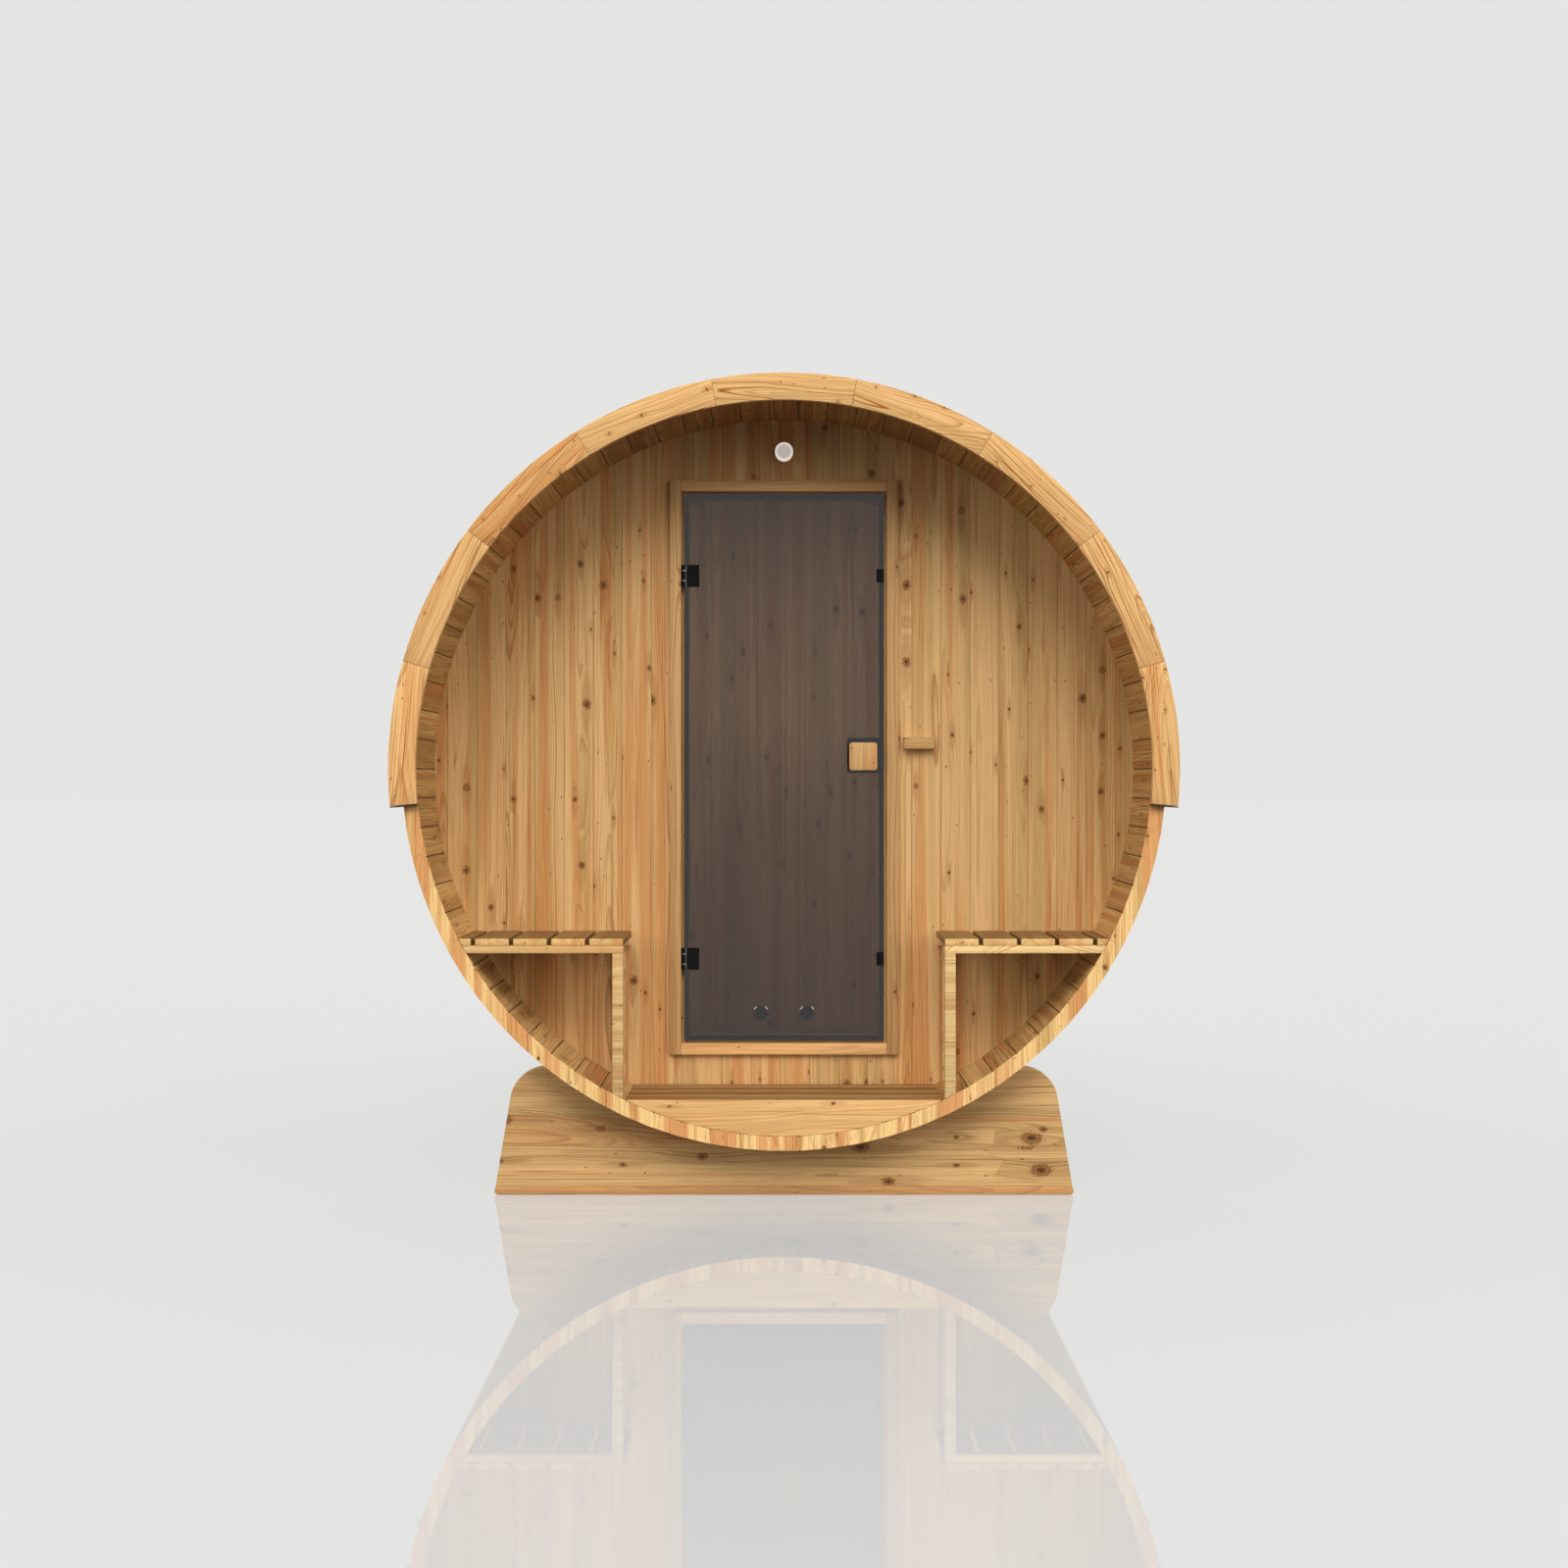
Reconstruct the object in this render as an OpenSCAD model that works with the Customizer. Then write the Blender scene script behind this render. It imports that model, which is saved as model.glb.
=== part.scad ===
// Barrel sauna: a round cabin of tongued staves with an open porch, on two cradles.
// X runs to the right, Y from the porch to the back, Z up. The ground is Z 0.

/* [Barrel] */
// Radius inside the staves, to the middle of a stave's flat
inner_r = 988; // [900:1:1100]
// Thickness of a stave
stave_t = 39; // [30:1:50]
// Number of staves round the barrel
stave_count = 78; // [66:4:90]
// Length of a stave
stave_len = 1910; // [1600:10:2600]
// Height of the staves' underside over the ground
ground_gap = 143; // [120:1:200]
// Height of the tongue on a stave's edge, measured across the thickness
tongue_w = 12; // [8:1:16]
// How far the tongue stands out
tongue_d = 8; // [5:1:12]
// Small bevel along each edge of a stave
stave_bevel = 1.6; // [0.5:0.1:3]
// Open joint between neighbouring staves
stave_gap = 0.4; // [0.2:0.1:1]
// Depth of the groove that holds an end wall
groove_d = 10; // [6:1:14]

/* [End walls] */
// Thickness of an end wall
wall_t = 40; // [28:1:50]
// Distance from the front stave ends to the front wall
porch_len = 315; // [250:5:600]
// Distance from the rear stave ends to the back wall
rear_rim = 70; // [40:1:150]
// Cover width of a wall board
board_w = 82.3; // [70:0.1:120]
// Depth of the V groove between wall boards
vee_d = 1; // [0.5:0.5:4]
// Radius of each vent in the back wall
vent_r = 21.5; // [15:0.5:40]
// Distance from the centre line to each vent
vent_x = 81; // [60:1:200]
// Height of the vents over the floor
vent_up = 45; // [35:1:200]

/* [Door] */
// Width of the clear opening between the jambs
door_w = 582; // [500:1:700]
// Distance from the top inside the barrel down to the clear opening
head_drop = 203; // [190:1:320]
// Height of the opening's lower edge over the floor
door_up = 117; // [80:1:200]
// Thickness of the jambs, head and sill
jamb_t = 22; // [18:1:30]
// Depth of the jambs behind the wall's front face
jamb_deep = 50; // [45:1:70]
// How far the stop stands into the opening
stop_w = 21; // [12:1:24]
// Width of the casing board round the door
casing_w = 32; // [25:1:60]
// Thickness of the casing board
casing_t = 16; // [10:1:25]
// Thickness of the glass leaf
glass_t = 8; // [6:1:12]
// Gap round the glass leaf
glass_gap = 6.5; // [5:0.5:9]
// Height of a hinge
hinge_h = 61.5; // [50:0.5:80]
// Diameter of the hinge knuckles
knuckle_dia = 9; // [8:0.5:12]
// Diameter of the hinge pin
pin_dia = 5; // [4:0.5:6]
// Width of the black clamp plate on the glass
clamp_w = 34; // [28:1:45]
// Distance from the top of the glass to the centre of the upper hinge
hinge_in = 231.5; // [120:0.5:400]
// Side of the square wooden handle
handle_w = 78; // [60:1:100]
// Thickness of a handle block
handle_t = 26; // [18:1:35]
// How far the outer handle block stands off the glass
handle_off = 15; // [8:1:25]
// Height of the handle's centre over the floor
handle_up = 927; // [800:1:1100]

/* [Roof] */
// Thickness of a roof board
roof_t = 18; // [14:1:25]
// Height of the ribs between the staves and the roof boards
rib_t = 12.6; // [10:0.1:30]
// Width of a rib along the barrel
rib_w = 40; // [30:1:60]
// Half of the angle that the roof covers, from the top
roof_half_angle = 95.5; // [80:0.5:100]
// Thickness of the fascia that closes the roof at each end
fascia_t = 20; // [15:1:30]
// Number of segments in a fascia
fascia_parts = 9; // [5:2:13]
// Thickness of the drip strip under the roof's edge
drip_t = 3; // [2:0.5:6]

/* [Porch and floor] */
// Height of the floor over the lowest point inside the barrel
floor_up = 97; // [85:1:140]
// Thickness of a floor board
floor_t = 28; // [20:1:35]
// Number of floor boards in the porch, behind the front board
porch_boards = 3; // [2:1:6]
// Number of floor boards in the cabin
cabin_boards = 15; // [10:1:20]
// Thickness of a floor bearer
bearer_t = 40; // [30:1:60]
// Height of the bench seat over the floor
seat_up = 434; // [380:1:500]
// Width of a bench slat
slat_w = 91.5; // [60:0.5:120]
// Gap between bench slats
slat_gap = 10.9; // [5:0.1:20]
// Thickness of a bench slat
slat_t = 19.3; // [15:0.1:30]
// Distance from the end of a floor board out to the bench
bench_off = 6.1; // [2:0.1:20]
// Height of a bench rail
rail_h = 20.5; // [18:0.5:40]
// Thickness of the rails and legs along the barrel
frame_t = 29.5; // [20:0.5:45]

/* [Cradles] */
// Thickness of a cradle along the barrel
cradle_t = 45; // [35:1:70]
// Distance from the stave ends to a cradle
cradle_in = 130; // [80:1:300]
// Half of a cradle's length on the ground
cradle_half = 796; // [700:1:850]
// Height of a cradle over the ground
cradle_h = 350; // [300:1:420]
// Angle that a cradle's ends lean in
cradle_lean = 9.4; // [5:0.1:20]
// Radius of a cradle's top corners
cradle_r = 95; // [40:1:110]
// Height of the strip under a cradle
sole_h = 24; // [18:1:40]
// Radius of the lower corners of the strip
sole_r = 12; // [6:1:16]

/* [Hoops and fittings] */
// Width of a steel hoop
hoop_w = 22; // [15:1:30]
// Thickness of a steel hoop
hoop_t = 1.2; // [1:0.1:3]
// Distance from the middle of the barrel to each hoop
hoop_y = 700; // [520:10:740]
// Gap between a hoop's lugs
lug_gap = 30; // [15:1:50]
// Thickness of a lug
lug_t = 6; // [4:0.5:10]
// Height of a lug over the staves
lug_h = 24; // [18:1:32]
// Radius of a hoop's tightening bolt
lug_bolt_r = 4; // [3:0.5:6]
// Length of the peg on the front wall
peg_w = 84.5; // [60:0.5:120]
// Height of the peg
peg_h = 33.5; // [25:0.5:50]
// How far the peg stands out
peg_d = 25; // [15:1:40]
// Distance from the door casing to the peg
peg_off = 16.3; // [5:0.1:60]
// Height of the peg's middle over the floor
peg_up = 965; // [800:1:1100]
// Radius of the porch light
light_r = 25.5; // [20:0.5:45]
// Depth of the porch light's base
light_d = 22; // [15:1:40]
// Height of the porch light over the door opening
light_up = 110; // [90:1:150]

/* [Hidden] */
// seats and running clearances
seat_gap = 0.3;
pin_gap = 0.05;
stop_gap = 5;
over = 1;
curve_fn = 180;
small_fn = 48;
arc_steps = 8;

// the barrel
stave_step = 360 / stave_count;
half_len = stave_len / 2;
outer_r = inner_r + stave_t;
axis_z = ground_gap + outer_r;
corner_r = outer_r / cos(stave_step / 2);
cavity_r = inner_r - seat_gap;
shell_r = corner_r + seat_gap;
top_staves = 9;
side_staves = (stave_count - 2 * top_staves) / 2;
low_to = floor(side_staves / 3);
mid_to = floor(side_staves * 2 / 3);
edge_stave = (top_staves - 1) / 2;

// the end walls
front_y = -half_len + porch_len;
front_back_y = front_y + wall_t;
back_y = half_len - rear_rim - wall_t;
back_end_y = back_y + wall_t;
wall_r = inner_r + groove_d - seat_gap;
least_slat = 15;

// the roof
board_in_r = shell_r + rib_t + seat_gap;
board_out_r = board_in_r + roof_t;
fascia_r = board_out_r / cos(stave_step / 2) + over;
fascia_step = 2 * roof_half_angle / fascia_parts;
roof_count = floor(2 * roof_half_angle / stave_step);
roof_step = 2 * roof_half_angle / roof_count;
roof_bevel = 2;
roof_side = floor(roof_count / 3);
lug_bolt_end = 12;
hoop_in = outer_r + seat_gap;
hoop_out_r = (hoop_in + hoop_t) / cos(stave_step / 2);
drip_r = hoop_out_r + seat_gap;
rib_rows = 5;
rib_parts = 3;
rib_joint_angle = 0.1;
rib_end_y = half_len - rib_w / 2 - seat_gap;
drip_bevel_gap = 0.6;

// the floor
floor_z = axis_z - inner_r + floor_up;
floor_half = sqrt(pow(cavity_r, 2) - pow(axis_z - floor_z, 2));
vent_z = floor_z + vent_up;
bearer_in = 30;
porch_bearer_in = 90;
cabin_bearers = 4;

// the door
sill_z = floor_z + door_up;
head_z = axis_z + inner_r - head_drop;
door_h = head_z - sill_z;
hole_half = door_w / 2 + jamb_t;
glass_side_gap = 2.5;
glass_out = 6;
glass_half = door_w / 2 - glass_gap - glass_side_gap;
glass_low = sill_z + glass_gap;
glass_high = head_z - glass_gap;
glass_y = front_y - glass_out;
glass_back_y = glass_y + glass_t;
stop_y = glass_back_y + stop_gap;
jamb_back_y = front_y + jamb_deep;
knuckle_side_gap = 2.1;
knuckle_glass_gap = 1.5;
hinge_x = -door_w / 2 + knuckle_dia / 2 + knuckle_side_gap;
hinge_y = glass_y - knuckle_dia / 2 - knuckle_glass_gap;
hinge_zs = [glass_low + hinge_in, glass_high - hinge_in];
door_knuckle = 28.2;
knuckle_gap = 0.3;
leaf_t = 2;
clamp_t = 6;
middle_joint = -10;
left_joint_off = 63;
right_joint_off = 49;
left_joint = -hole_half - left_joint_off;
right_joint = hole_half + right_joint_off;
least_board = 4;
clamp_in = 8.3;
clamp_x = -glass_half + clamp_in;
clamp_bolt_r = 3;
clamp_hole_r = 4;
clamp_bolt_z = 17;
clamp_bolt_in = 10;
clamp_stop_gap = 6;
back_clamp_x = -door_w / 2 + stop_w + clamp_stop_gap;
clamp_bolt_x = back_clamp_x + clamp_bolt_in;
strike_w = 20.5;
strike_h = 37.7;
strike_t = 4;
handle_in = 59;
handle_x = glass_half - handle_in;
handle_z = floor_z + handle_up;
handle_r = 8;
handle_in_off = 6;
spindle_r = 6;
spindle_gap = 0.1;
collar_r = 15;

// the porch
post_y = -half_len;
seat_z = floor_z + seat_up;
bench_x = floor_half + bench_off;
seat_half = sqrt(pow(cavity_r, 2) - pow(axis_z - seat_z + slat_t, 2));
slat_step = slat_w + slat_gap;
slat_count = ceil((seat_half - least_slat - bench_x) / slat_step);
peg_x = door_w / 2 + casing_w + peg_off + peg_w / 2;
rail_z = seat_z - slat_t - rail_h;
rear_leg_in = 15;
front_board_y = -half_len + floor_t;

// extrudes an outline drawn in X and Z from y0 to y1
module along_y(y0, y1) {
    translate([0, y1, 0])
        rotate([90, 0, 0])
            linear_extrude(height = y1 - y0)
                children();
}

// turns a piece round the barrel's centre line, 0 at the top and positive to the right
module turned(angle) {
    translate([0, 0, axis_z])
        rotate([0, angle, 0])
            children();
}

module block(x0, x1, y0, y1, z0, z1) {
    translate([x0, y0, z0])
        cube([x1 - x0, y1 - y0, z1 - z0]);
}

// a cylinder that runs along Y
module rod_y(x, z, y0, y1, r, fn = small_fn) {
    translate([x, y1, z])
        rotate([90, 0, 0])
            cylinder(r = r, h = y1 - y0, $fn = fn);
}

// the round space inside the barrel, from y0 to y1
module barrel_space(y0, y1, r) {
    rod_y(0, axis_z, y0, y1, r, curve_fn);
}

// points of an arc, from angle a0 to a1
function arc(cx, cz, r, a0, a1, steps = arc_steps) =
    [for (i = [0 : steps]) let (a = a0 + (a1 - a0) * i / steps) [cx + r * cos(a), cz + r * sin(a)]];

// a point on a stave's edge: s out from the centre line, n in from the joint plane
function edge_pt(side, s, n) = [
    side * (s * sin(stave_step / 2) - n * cos(stave_step / 2)),
    s * cos(stave_step / 2) + n * sin(stave_step / 2)
];

// one stave's section, with a tongue on its right edge and a groove in its left one
function stave_section() = let (
    cosine = cos(stave_step / 2),
    low = inner_r / cosine,
    high = outer_r / cosine,
    mid = (low + high) / 2,
    g = stave_gap / 2,
    b = stave_bevel,
    t0 = mid - tongue_w / 2,
    t1 = mid + tongue_w / 2
) [
    [-edge_pt(1, low, g + b)[0], inner_r],
    [edge_pt(1, low, g + b)[0], inner_r],
    edge_pt(1, low + b, g),
    edge_pt(1, t0, g),
    edge_pt(1, t0, -tongue_d + g),
    edge_pt(1, t1, -tongue_d + g),
    edge_pt(1, t1, g),
    edge_pt(1, high - b, g),
    [edge_pt(1, high, g + b)[0], outer_r],
    [-edge_pt(1, high, g + b)[0], outer_r],
    edge_pt(-1, high - b, g),
    edge_pt(-1, t1 + g, g),
    edge_pt(-1, t1 + g, tongue_d + g),
    edge_pt(-1, t0 - g, tongue_d + g),
    edge_pt(-1, t0 - g, g),
    edge_pt(-1, low + b, g)
];

module wall_groove(y0, y1) {
    half = inner_r * tan(stave_step / 2) + tongue_d + over;
    block(-half, half, y0, y1, inner_r - over, inner_r + groove_d);
}

module stave() {
    difference() {
        along_y(-half_len, half_len)
            polygon(stave_section());
        wall_groove(front_y - seat_gap, front_back_y + seat_gap);
        wall_groove(back_y - seat_gap, back_end_y + seat_gap);
    }
}

// staves numbered from the bottom, positive to the right
module staves(first, last) {
    color("burlywood")
        for (i = [first : last])
            turned(180 - i * stave_step)
                stave();
}

// a point s along the flat that faces angle t, at distance a from the centre line
function flat_pt(t, s, a) = [a * sin(t) + s * cos(t), a * cos(t) - s * sin(t)];

// the line of a band bent over the staves' corners, from the flat of stave j0 to that of j1
function band_line(j0, j1, s, a) = concat(
    [flat_pt(j0 * stave_step, s, a)],
    [for (j = [j0 : j1 - 1]) flat_pt((j + 0.5) * stave_step, 0, a / cos(stave_step / 2))],
    [flat_pt(j1 * stave_step, -s, a)]
);

function backwards(v) = [for (i = [len(v) - 1 : -1 : 0]) v[i]];

// two steel bands round the staves, each drawn tight by a bolt through two lugs on either side
module steel_hoops() {
    r0 = hoop_in;
    r1 = r0 + hoop_t;
    lug_stave = ceil(roof_half_angle / stave_step + 1);
    lug_out = lug_gap / 2 + lug_t;
    band_end = lug_out - lug_t / 2;
    color("silver")
        for (y = [-hoop_y, hoop_y])
            translate([0, y, 0]) {
                for (ends = [[-lug_stave, lug_stave], [lug_stave, stave_count - lug_stave]])
                    translate([0, 0, axis_z])
                        along_y(-hoop_w / 2, hoop_w / 2)
                            polygon(concat(band_line(ends[0], ends[1], band_end, r1),
                                backwards(band_line(ends[0], ends[1], band_end, r0))));
                for (side = [-1, 1])
                    turned(side * lug_stave * stave_step) {
                        for (x = [-lug_out, lug_gap / 2])
                            block(x, x + lug_t, -hoop_w / 2, hoop_w / 2, r0 + hoop_t / 2, r0 + lug_h);
                        translate([-lug_out - lug_bolt_end, 0, r0 + lug_h / 2 + hoop_t])
                            rotate([0, 90, 0])
                                cylinder(r = lug_bolt_r, h = 2 * (lug_out + lug_bolt_end), $fn = small_fn);
                    }
            }
}

// a wall of upright boards from x0 to x1, grooved on both faces where boards meet
module board_wall(x0, x1, y0, y1, joint, z0, z1) {
    first = ceil((x0 + least_board - joint) / board_w);
    last = floor((x1 - least_board - joint) / board_w);
    front = [for (i = [first : last], p = [-1, 0, 1])
        [joint + i * board_w + p * vee_d, y0 + (p == 0 ? vee_d : 0)]];
    rear = [for (i = [last : -1 : first], p = [1, 0, -1])
        [joint + i * board_w + p * vee_d, y1 - (p == 0 ? vee_d : 0)]];
    color("peru")
        intersection() {
            translate([0, 0, z0])
                linear_extrude(height = z1 - z0)
                    polygon(concat([[x0, y0]], front, [[x1, y0], [x1, y1]], rear, [[x0, y1]]));
            barrel_space(y0 - over, y1 + over, wall_r);
        }
}

module front_wall_left() {
    board_wall(-wall_r, -hole_half - seat_gap, front_y, front_back_y, left_joint,
        axis_z - wall_r, axis_z + wall_r);
}

module front_wall_right() {
    board_wall(hole_half + seat_gap, wall_r, front_y, front_back_y, right_joint,
        axis_z - wall_r, axis_z + wall_r);
}

module front_wall_over_door() {
    board_wall(-hole_half, hole_half, front_y, front_back_y, middle_joint,
        head_z + jamb_t + seat_gap, axis_z + wall_r);
}

module front_wall_below_door() {
    board_wall(-hole_half, hole_half, front_y, front_back_y, middle_joint,
        axis_z - wall_r, sill_z - jamb_t - seat_gap);
}

module back_wall() {
    difference() {
        board_wall(-wall_r, wall_r, back_y, back_end_y, middle_joint, axis_z - wall_r, axis_z + wall_r);
        for (side = [-1, 1])
            rod_y(side * vent_x, vent_z, back_y - over, back_end_y + over, vent_r);
    }
}

// a sleeve with a flange on each face and a closed plate inside
module back_vents() {
    flange_t = 2;
    flange_w = 2.5;
    sleeve_t = 2;
    color("dimgray")
        for (side = [-1, 1])
            difference() {
                union() {
                    rod_y(side * vent_x, vent_z, back_y - flange_t - seat_gap,
                        back_end_y + flange_t + seat_gap, vent_r - seat_gap);
                    rod_y(side * vent_x, vent_z, back_y - flange_t - seat_gap, back_y - seat_gap,
                        vent_r + flange_w);
                    rod_y(side * vent_x, vent_z, back_end_y + seat_gap, back_end_y + flange_t + seat_gap,
                        vent_r + flange_w);
                }
                rod_y(side * vent_x, vent_z, back_y - flange_t - over, back_y + wall_t / 3,
                    vent_r - sleeve_t);
                rod_y(side * vent_x, vent_z, back_end_y - wall_t / 3, back_end_y + flange_t + over,
                    vent_r - sleeve_t);
            }
}

// the jamb board with its stop, drawn in plan on the left side
module jamb_plan() {
    polygon([
        [-hole_half, front_y],
        [-door_w / 2, front_y],
        [-door_w / 2, stop_y],
        [-door_w / 2 + stop_w, stop_y],
        [-door_w / 2 + stop_w, jamb_back_y],
        [-hole_half, jamb_back_y]
    ]);
}

module door_jambs() {
    color("tan")
        for (side = [0, 1])
            mirror([side, 0, 0])
                translate([0, 0, sill_z + seat_gap])
                    linear_extrude(height = door_h - 2 * seat_gap)
                        jamb_plan();
}

// the head or the sill, from the jamb's own section
module door_cross(z_in, up) {
    half = hole_half;
    stop_half = door_w / 2 - stop_w - seat_gap;
    color("tan") {
        block(-half, half, front_y, jamb_back_y, up > 0 ? z_in : z_in - jamb_t, up > 0 ? z_in + jamb_t : z_in);
        block(-stop_half, stop_half, stop_y, jamb_back_y,
            up > 0 ? z_in - stop_w : z_in - over, up > 0 ? z_in + over : z_in + stop_w);
    }
}

module door_head() {
    door_cross(head_z, 1);
}

module door_sill() {
    door_cross(sill_z, -1);
}

// two upright casing boards of full height, with the upper and lower boards between them
module door_casing() {
    x0 = door_w / 2;
    x1 = x0 + casing_w;
    y0 = front_y - casing_t;
    low = sill_z - casing_w;
    color("burlywood") {
        for (x = [-x1, x0])
            block(x, x + casing_w, y0, front_y, low, head_z + casing_w);
        for (z = [low, head_z])
            block(-x0 + seat_gap, x0 - seat_gap, y0, front_y, z, z + casing_w);
    }
}

module door_glass() {
    color([0.35, 0.3, 0.27, 0.6])
        difference() {
            block(-glass_half, glass_half, glass_y, glass_back_y, glass_low, glass_high);
            for (z = hinge_zs, dz = [-clamp_bolt_z, clamp_bolt_z])
                rod_y(clamp_bolt_x, z + dz, glass_y - over, glass_back_y + over, clamp_hole_r);
            rod_y(handle_x, handle_z, glass_y - over, glass_back_y + over, spindle_r + over);
        }
}

// the part of each hinge that is bolted to the glass
module hinge_clamps() {
    plate_y = glass_y - seat_gap;
    back_plate_y = glass_back_y + seat_gap;
    color([0.12, 0.12, 0.12])
        for (z = hinge_zs)
            difference() {
                union() {
                    translate([hinge_x, hinge_y, z - door_knuckle / 2])
                        cylinder(d = knuckle_dia, h = door_knuckle, $fn = small_fn);
                    block(hinge_x + pin_dia / 2 + over, clamp_x + over, hinge_y - leaf_t / 2, hinge_y + leaf_t / 2,
                        z - door_knuckle / 2, z + door_knuckle / 2);
                    block(clamp_x, clamp_x + clamp_w, plate_y - clamp_t, plate_y, z - hinge_h / 2, z + hinge_h / 2);
                    for (dz = [-clamp_bolt_z, clamp_bolt_z])
                        rod_y(clamp_bolt_x, z + dz, plate_y - over, back_plate_y + over, clamp_bolt_r);
                    block(back_clamp_x, clamp_x + clamp_w, back_plate_y, back_plate_y + leaf_t + over,
                        z - hinge_h / 2, z + hinge_h / 2);
                }
                translate([hinge_x, hinge_y, z - door_knuckle])
                    cylinder(d = pin_dia + 2 * pin_gap, h = 2 * door_knuckle, $fn = small_fn);
            }
}

// the part of each hinge that is screwed to the jamb, with the pin
module hinge_leaves() {
    leaf_x = -door_w / 2 + seat_gap;
    end_h = (hinge_h - door_knuckle) / 2 - knuckle_gap;
    color([0.2, 0.2, 0.2])
        for (z = hinge_zs) {
            translate([hinge_x, hinge_y, z - hinge_h / 2])
                cylinder(d = pin_dia, h = hinge_h, $fn = small_fn);
            for (z0 = [z - hinge_h / 2, z + hinge_h / 2 - end_h]) {
                translate([hinge_x, hinge_y, z0])
                    cylinder(d = knuckle_dia, h = end_h, $fn = small_fn);
                block(leaf_x, hinge_x, hinge_y - leaf_t / 2, hinge_y + leaf_t / 2, z0, z0 + end_h);
            }
            block(leaf_x, leaf_x + leaf_t - over, hinge_y - leaf_t / 2, stop_y - over, z - hinge_h / 2, z + hinge_h / 2);
        }
}

module strike_plates() {
    color([0.12, 0.12, 0.12])
        for (z = hinge_zs)
            block(glass_half - strike_w, glass_half, glass_y - strike_t - seat_gap, glass_y - seat_gap,
                z - strike_h / 2, z + strike_h / 2);
}

// a square block with rounded corners, bored part way for the spindle
module handle_block(y0, y1, bore_y0, bore_y1) {
    inset = handle_w / 2 - handle_r;
    color("sandybrown")
        difference() {
            along_y(y0, y1)
                polygon(concat(
                    arc(handle_x + inset, handle_z + inset, handle_r, 0, 90),
                    arc(handle_x - inset, handle_z + inset, handle_r, 90, 180),
                    arc(handle_x - inset, handle_z - inset, handle_r, 180, 270),
                    arc(handle_x + inset, handle_z - inset, handle_r, 270, 360)
                ));
            rod_y(handle_x, handle_z, bore_y0, bore_y1, spindle_r + spindle_gap);
        }
}

module handle_outer() {
    y1 = glass_y - handle_off;
    handle_block(y1 - handle_t, y1, y1 - handle_t / 2, y1 + over);
}

module handle_inner() {
    y0 = glass_back_y + handle_in_off;
    handle_block(y0, y0 + handle_t, y0 - over, y0 + handle_t / 2);
}

// a rod through the glass with a collar between the glass and each block
module handle_spindle() {
    y_out = glass_y - handle_off;
    y_in = glass_back_y + handle_in_off;
    color("dimgray") {
        rod_y(handle_x, handle_z, y_out - handle_t / 2 + seat_gap, y_in + handle_t / 2 - seat_gap, spindle_r);
        rod_y(handle_x, handle_z, y_out + spindle_gap, glass_y - seat_gap, collar_r);
        rod_y(handle_x, handle_z, glass_back_y + seat_gap, y_in - spindle_gap, collar_r);
    }
}

module porch_light_base() {
    color("white")
        rod_y(0, head_z + light_up, front_y - light_d, front_y, light_r);
}

module porch_light_lens() {
    lens_in = 1.8;
    lens_t = 8;
    color("gainsboro")
        rod_y(0, head_z + light_up, front_y - light_d - lens_t, front_y - light_d, light_r - lens_in);
}

module towel_peg() {
    r = 3;
    x = peg_w / 2 - r;
    z = peg_h / 2 - r;
    color("sandybrown")
        translate([peg_x, 0, floor_z + peg_up])
            along_y(front_y - peg_d, front_y)
                polygon(concat(arc(x, z, r, 0, 90), arc(-x, z, r, 90, 180), arc(-x, -z, r, 180, 270),
                    arc(x, -z, r, 270, 360)));
}

// slats run from the front of the porch to the wall
module bench_slats(side) {
    color("burlywood")
        intersection() {
            for (i = [0 : slat_count - 1])
                let (x = bench_x + i * slat_step)
                    block(side > 0 ? x : -x - slat_w, side > 0 ? x + slat_w : -x, post_y, front_y - seat_gap,
                        seat_z - slat_t, seat_z);
            barrel_space(post_y - over, front_y, cavity_r);
        }
}

// a rail on a leg, both cut to the curve of the barrel
module bench_frame(y0, leg_x) {
    intersection() {
        union() {
            block(leg_x, leg_x + frame_t, y0, y0 + frame_t, 0, rail_z - seat_gap);
            block(bench_x, inner_r, y0, y0 + frame_t, rail_z, rail_z + rail_h);
        }
        barrel_space(y0 - over, y0 + frame_t + over, cavity_r);
    }
}

module bench_frames(side) {
    color("burlywood")
        mirror([side < 0 ? 1 : 0, 0, 0]) {
            bench_frame(post_y, bench_x);
            bench_frame(front_y - frame_t - seat_gap, bench_x + rear_leg_in);
        }
}

// floor boards across the barrel, cut to its curve
module floor_boards(y0, y1, count) {
    w = (y1 - y0) / count;
    color("peru")
        for (i = [0 : count - 1])
            intersection() {
                block(-inner_r, inner_r, y0 + i * w + seat_gap / 2, y0 + (i + 1) * w - seat_gap / 2,
                    floor_z - floor_t, floor_z);
                barrel_space(y0 - over, y1 + over, cavity_r);
            }
}

module porch_floor() {
    floor_boards(front_board_y, front_y, porch_boards);
}

module cabin_floor() {
    floor_boards(front_back_y, back_y, cabin_boards);
}

// what fills the barrel's foot below a level, from y0 to y1
module barrel_foot(y0, y1, z) {
    intersection() {
        block(-inner_r, inner_r, y0, y1, 0, z);
        barrel_space(y0 - over, y1 + over, cavity_r);
    }
}

module floor_front_board() {
    color("burlywood")
        barrel_foot(post_y, front_board_y - seat_gap, floor_z);
}

module floor_bearers() {
    last_y = back_y - bearer_in - bearer_t;
    first_y = front_back_y + bearer_in;
    color("peru") {
        for (y = [post_y + porch_bearer_in, front_y - bearer_in - bearer_t])
            barrel_foot(y, y + bearer_t, floor_z - floor_t);
        for (i = [0 : cabin_bearers - 1])
            let (y = first_y + i * (last_y - first_y) / (cabin_bearers - 1))
                barrel_foot(y, y + bearer_t, floor_z - floor_t);
    }
}

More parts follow.
